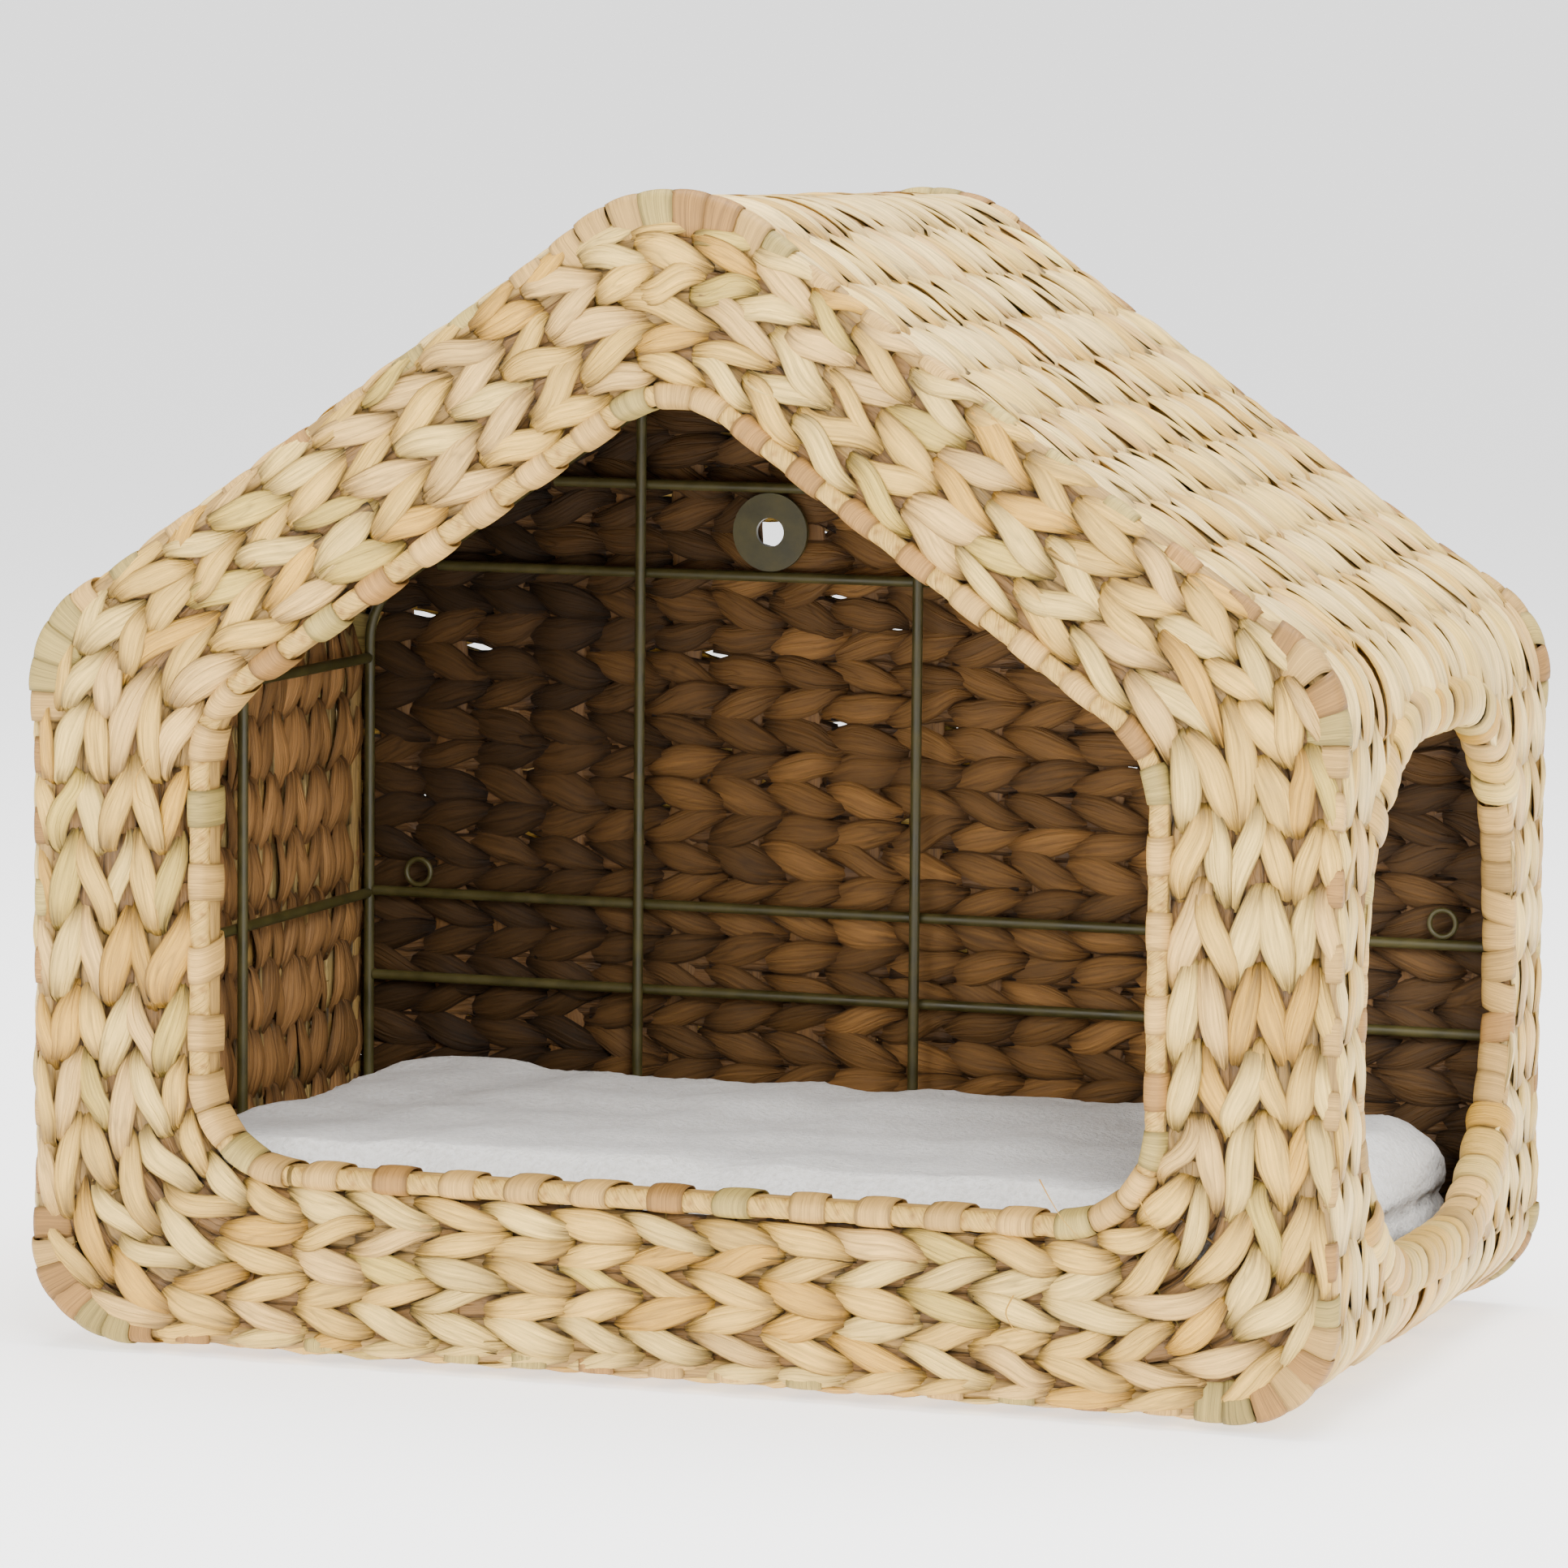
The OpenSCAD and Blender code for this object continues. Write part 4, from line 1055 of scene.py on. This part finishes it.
def edge_frame(outline, face, bulge=0.0):
    """Turns (distance along, out, deep) into a point; deep is measured inwards from a front or back face.

    bulge is the share of the weave's bulge that the edge takes.
    """
    def place(s, out_by, deep):
        point, out = outline.at(s)
        flat = point + out * (out_by + bulge * swell(out, face * HALF_D))[..., None]
        y = face * (HALF_D - deep)
        return np.stack([flat[..., 0], np.broadcast_to(y, flat[..., 0].shape), flat[..., 1]], -1)
    return place


def corner_section(section, tail, shrink, sink):
    """A strap's section at a corner: it runs on under the weave, as far as tail, thinner and deeper there."""
    middle = section.mean(0)
    half = np.abs(section[:, 0] - middle[0]).max()
    inward = np.clip((middle[0] - section[:, 0]) / half, 0, 1)
    return np.stack([section[:, 0] - inward * (tail - half),
                     middle[1] + (section[:, 1] - middle[1]) * (1 - shrink * inward) + sink * inward], -1)


def core_rod(name, outline, place, out_by, deep, radii, colour, step=6, around=14):
    """The plain rod between the straps of a bound edge. radii are its half width and half depth."""
    rings = int(outline.length / step)
    s = np.arange(rings)[:, None] * outline.length / rings
    phi = round_turn(around)[None, :]
    s, phi = np.broadcast_arrays(s, phi)
    points = place(s, out_by + radii[0] * np.cos(phi), deep + radii[1] * np.sin(phi))
    return make_tubes(name, points[None], colour, np.stack([s / 100, phi / 30], -1), ring=True)


def make_bound_edges():
    """Straps side by side round the corners of the front and back, and one at each stake along the sides."""
    corners = range(len(SHELL.corners))
    along_sides = np.concatenate([
        spaced((begin + CORNER_LEAD, end - CORNER_LEAD), STAKE_PITCH)
        for begin, end in map(SHELL.side_span, corners)])
    round_corners = np.concatenate([
        spaced((begin - CORNER_LEAD, end + CORNER_LEAD), CORNER_STRAP)
        for begin, end in map(SHELL.arc_span, corners)])
    for name, face, seed in (("front_edge", -1, 91), ("back_edge", 1, 101)):
        frame_at = edge_frame(SHELL, face, 1.0)
        for part, places, width, section, mix, seed_on, replaced in (
                ("side", along_sides, STAKE_W, EDGE_SECTION, BINDING_MIX, 0, [f"{name}_binding"]),
                ("corner", round_corners, CORNER_STRAP * CORNER_OVERLAP,
                 corner_section(EDGE_SECTION, *CORNER_TAIL), CORNER_MIX, 1, [])):
            slack = -SIDE_TUCK * (1 - np.sqrt(corner_swell(places)))
            bound = straps(f"{name}_{part}_straps", places, np.full(len(places), width), section, frame_at,
                           seed + seed_on, mix, slack=slack)
            dress(bound, STAKE, "binding", *replaced)
        # its colour is the stake tan darkened: painted shade between the straps
        core = core_rod(f"{name}_core", SHELL, frame_at, -1.6, 7.8, EDGE_CORE, STAKE_TAN * 0.6)
        dress(core, STAKE, "binding")


def make_rim():
    """The rope along the opening, its straps, and the rod that fills them."""
    line = OPENING.grown(RIM_R)
    cord = wound_rod("rim_rope_twist", line, -1, RIM_R, ROPE_R - 0.5, 9.0, ROPE_CREAM)
    dress(cord, LEAF, "rope", "rim_rope")
    places = fanned(line, INNER_DEPTH)
    widths = np.minimum(STAKE_W, 0.93 * (np.roll(places, -1) - places) % line.length)
    frame_at = edge_frame(line, -1)
    bound = straps("rim_strap_wraps", places, widths, oval(0.0, RIM_DEEP, RIM_R - 0.75, RIM_HALF, 26),
                   frame_at, RIM_SEED, STAKE_MIX)
    dress(bound, STAKE, "stakes", "rim_straps")
    # its colour is the stake tan darkened: painted shade between the straps
    fill = core_rod("rim_fill", line, frame_at, 0.0, RIM_DEEP + 1.2, (RIM_R - 1.7, RIM_HALF - 1.8),
                    STAKE_TAN * 0.8)
    dress(fill, STAKE, "rope")


def door_frame(s, out_by, deep):
    """deep is measured inwards from the outside of the right wall."""
    point, out = DOOR.at(s)
    flat = point + out * out_by[..., None]
    x = np.broadcast_to(HALF_W + DOOR_BULGE - deep, flat[..., 0].shape)
    return np.stack([x, flat[..., 0], flat[..., 1]], -1)


def make_doorway():
    """Strands turned round the head and the foot of the doorway, straps round its two sides.

    They are all bound round a wire hoop, which lies within them and hides its ties.
    """
    places = spaced((0, DOOR.length), DOOR_PITCH)
    _point, out = DOOR.at(places)
    upright = np.abs(out[:, 1]) < DOOR_UPRIGHT
    rng = np.random.default_rng(DOOR_SEED)
    turned = (~upright).sum()
    loops = straps("doorway_turned_strands", places[~upright] + rng.normal(0, 0.8, turned),
                   DOOR_LOOP * (1 + rng.normal(0, 0.12, turned)), oval(8.5, 7.6, 7.6, 6.6, 26), door_frame,
                   DOOR_SEED + 1, OUTER_MIX, steps=11, thick=2.1, edge=0.1, dark=0.7, skew=1.5)
    dress(loops, LEAF, "weave", "doorway_binding")
    bound = straps("doorway_strap_wraps", places[upright], np.full(upright.sum(), DOOR_STRAP),
                   oval(4.5, 8.0, 4.4, 5.4, 26), door_frame, DOOR_SEED + 2, JAMB_MIX)
    dress(bound, STAKE, "binding")
    # its colour is the stake brown darkened: painted shade between the turned strands and straps
    core = core_rod("doorway_core", DOOR, door_frame, 8.5, 7.6, (6.6, 4.6), STAKE_BROWN * 0.55)
    dress(core, STAKE, "binding")
    hoop = core_rod("doorway_hoop_wire", DOOR, door_frame, 3.4, 8.0, (2.0, 2.0), STAKE_BROWN)
    dress(hoop, WIRE, "frame_wire", "doorway_hoop", "doorway_ties")


# ---- Loose ends ----

# The middle line of each loose fibre on the front: x, depth in front of the front face, z
FIBRES = [
    [(137.5, 2.0, 83.0), (142.0, 6.0, 78.0), (147.0, 7.0, 71.0), (151.5, 3.0, 64.5)],
    [(172.8, 2.0, 78.5), (176.5, 5.0, 73.0), (180.0, 2.0, 68.0)],
    [(128.5, 1.0, 42.5), (126.5, 5.0, 37.0), (130.5, 6.0, 31.0), (136.0, 2.0, 29.5)],
    [(-193.0, 1.5, 212.0), (-196.5, 5.0, 206.0), (-195.0, 6.0, 198.0), (-190.0, 2.0, 194.0)],
]
FIBRE_R = 0.32
FIBRE_TAPER = 0.6  # how much of that it loses to its tip


def make_loose_fibres(rings=12, around=6):
    """Thin frayed fibres that stick out of the front."""
    tubes = []
    phi = round_turn(around)
    size = FIBRE_R * (1 - FIBRE_TAPER * np.linspace(0, 1, rings))[:, None]
    ring = np.stack([np.cos(phi) + 0 * size, np.sin(phi) + 0 * size, 0 * phi + 0 * size], -1)
    for line in FIBRES:
        line = np.array(line) * [1, -1, 1] - [0, HALF_D, 0]
        t = np.linspace(0, len(line) - 1, rings)
        centre = np.stack([np.interp(t, np.arange(len(line)), line[:, k]) for k in range(3)], -1)
        centre[1:-1] = (centre[:-2] + 2 * centre[1:-1] + centre[2:]) / 4
        tubes.append(centre[:, None, :] + size[..., None] * ring)
    points = np.stack(tubes)
    dress(make_tubes("loose_fibres", points, GOLD, np.zeros_like(points[..., :2])), STAKE, "weave")


# ---- Wire frame ----

WIRE_WORDS = ("hoop", "ties", "rod", "rail", "upright", "disc", "eye_ring")


def dress_wires():
    """The frame keeps its CAD shapes and gets the olive finish."""
    for name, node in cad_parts.items():
        if any(word in name for word in WIRE_WORDS):
            node.data.materials.clear()
            node.data.materials.append(WIRE)
            smooth_shading(node.data)


# ---- Cushion ----

CUSHION_SEED = 131
CUSHION_START = 0.965  # size before it swells, as a share of the CAD filling
CUSHION_MESH = 6.0  # voxel size of the mesh that swells
CUSHION_PRESSURE, CUSHION_FRAMES = 4.0, 20
CUSHION_CAP = 14.0  # how far a point may swell
CUSHION_CORNER = 0.08  # how far the filling pushes out the four corners
SEAM_PULL, SEAM_HEIGHT = 3.2, 3.4  # how deep the seam pulls in, and over what height
SEAM_INNER = 60.0  # no part of the seam is nearer the middle
PUCKERS = [(0.35, 74, 0), (0.2, 131, 1)]  # share of the pull, number round the seam and start of each wave
HOLLOWS, HOLLOW_WAVE, HOLLOW_DEPTH = 7, 0.011, 0.55
SETTLED = 1.5  # how far the top has settled
SETTLED_OVER = 4.0  # it settles above this height over the middle
FUZZ = 0.16


def cloth_swell(piece, pressure, frames, cap):
    """Blows a closed mesh up as cloth, for a short while, and keeps each point within cap of its start."""
    before = np.array([v.co for v in piece.data.vertices])
    cloth = piece.modifiers.new("cloth", "CLOTH")
    cloth.settings.use_pressure = True
    cloth.settings.uniform_pressure_force = pressure
    cloth.settings.effector_weights.gravity = 0
    cloth.settings.quality = 5
    cloth.point_cache.frame_start, cloth.point_cache.frame_end = 1, frames
    scene = bpy.context.scene
    for step in range(1, frames + 1):
        scene.frame_set(step)
    shown = piece.evaluated_get(bpy.context.evaluated_depsgraph_get())
    after = np.array([v.co for v in shown.data.vertices])
    piece.modifiers.remove(cloth)
    move = after - before
    far = np.linalg.norm(move, axis=1, keepdims=True)
    move *= np.minimum(1, cap * MM / np.maximum(far, 1e-9))
    piece.data.vertices.foreach_set("co", (before + move).astype(np.float32).ravel())
    scene.frame_set(1)


def apply_modifiers(piece):
    bpy.context.view_layer.objects.active = piece
    piece.select_set(True)
    for modifier in list(piece.modifiers):
        bpy.ops.object.modifier_apply(modifier=modifier.name)
    piece.select_set(False)


def swollen_filling(centre):
    """The CAD filling a little smaller, blown up and made smooth."""
    piece = bpy.data.objects.new("cushion_fleece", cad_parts["cushion_filling"].data.copy())
    piece.data.materials.clear()
    bpy.context.scene.collection.objects.link(piece)
    for v in piece.data.vertices:
        v.co = Vector(centre * MM) + (v.co - Vector(centre * MM)) * CUSHION_START
    remesh = piece.modifiers.new("remesh", "REMESH")
    remesh.mode = "VOXEL"
    remesh.voxel_size = CUSHION_MESH * MM
    apply_modifiers(piece)
    cloth_swell(piece, CUSHION_PRESSURE, CUSHION_FRAMES, CUSHION_CAP)
    smooth = piece.modifiers.new("subdivide", "SUBSURF")
    smooth.levels = smooth.render_levels = 1
    apply_modifiers(piece)
    return piece


def cushion_shape(points, half):
    """Fits points about the cushion's middle to its half size, with full corners, a seam and hollows."""
    spread = np.abs(points[:, :2]).max(0)
    share = np.abs(points[:, :2]) / spread
    points[:, :2] *= half[:2] / spread * (1 + CUSHION_CORNER * (share[:, :1] * share[:, 1:]) ** 4)
    points = np.clip(points, -half, half)
    rng = np.random.default_rng(CUSHION_SEED)
    # the seam between the two fleece panels pulls in, with small puckers
    radius = np.linalg.norm(points[:, :2], axis=1, keepdims=True)
    angle = np.arctan2(points[:, 1], points[:, 0])[:, None]
    pull = SEAM_PULL * np.exp(-((points[:, 2:3] / SEAM_HEIGHT) ** 2)) * (radius > SEAM_INNER)
    pucker = 1 + sum(size * np.sin(angle * count + start) for size, count, start in PUCKERS)
    points[:, :2] -= points[:, :2] / np.maximum(radius, 1) * pull * pucker
    # slow hollows where the filling has settled, kept off the flat bottom
    hollows = np.zeros(len(points))
    for _ in range(HOLLOWS):
        wave = rng.normal(0, HOLLOW_WAVE, 2)
        hollows += np.sin(points[:, :2] @ wave * 2 * math.pi + rng.uniform(0, 6.3))
    points[:, 2] += np.where(points[:, 2] > SETTLED_OVER, hollows * HOLLOW_DEPTH - SETTLED, 0)
    return np.clip(points + rng.normal(0, FUZZ, (len(points), 3)), -half, half)


def make_cushion():
    low, high = box_mm("cushion_cover_bottom")[0], box_mm("cushion_cover_top")[1]
    centre = (low + high) / 2
    piece = swollen_filling(centre)
    points = np.array([v.co for v in piece.data.vertices]) / MM - centre
    points = cushion_shape(points, (high - low) / 2) + centre
    piece.data.vertices.foreach_set("co", (points * MM).astype(np.float32).ravel())
    smooth_shading(piece.data)
    piece.data.update()
    piece.data.materials.append(FLEECE)
    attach(piece, "cushion")
    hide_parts("cushion_cover_top", "cushion_cover_bottom", "cushion_filling")


make_camera()
make_studio()
make_front()
make_girth()
make_back()
make_bound_edges()
make_rim()
make_doorway()
make_loose_fibres()
dress_wires()
make_cushion()
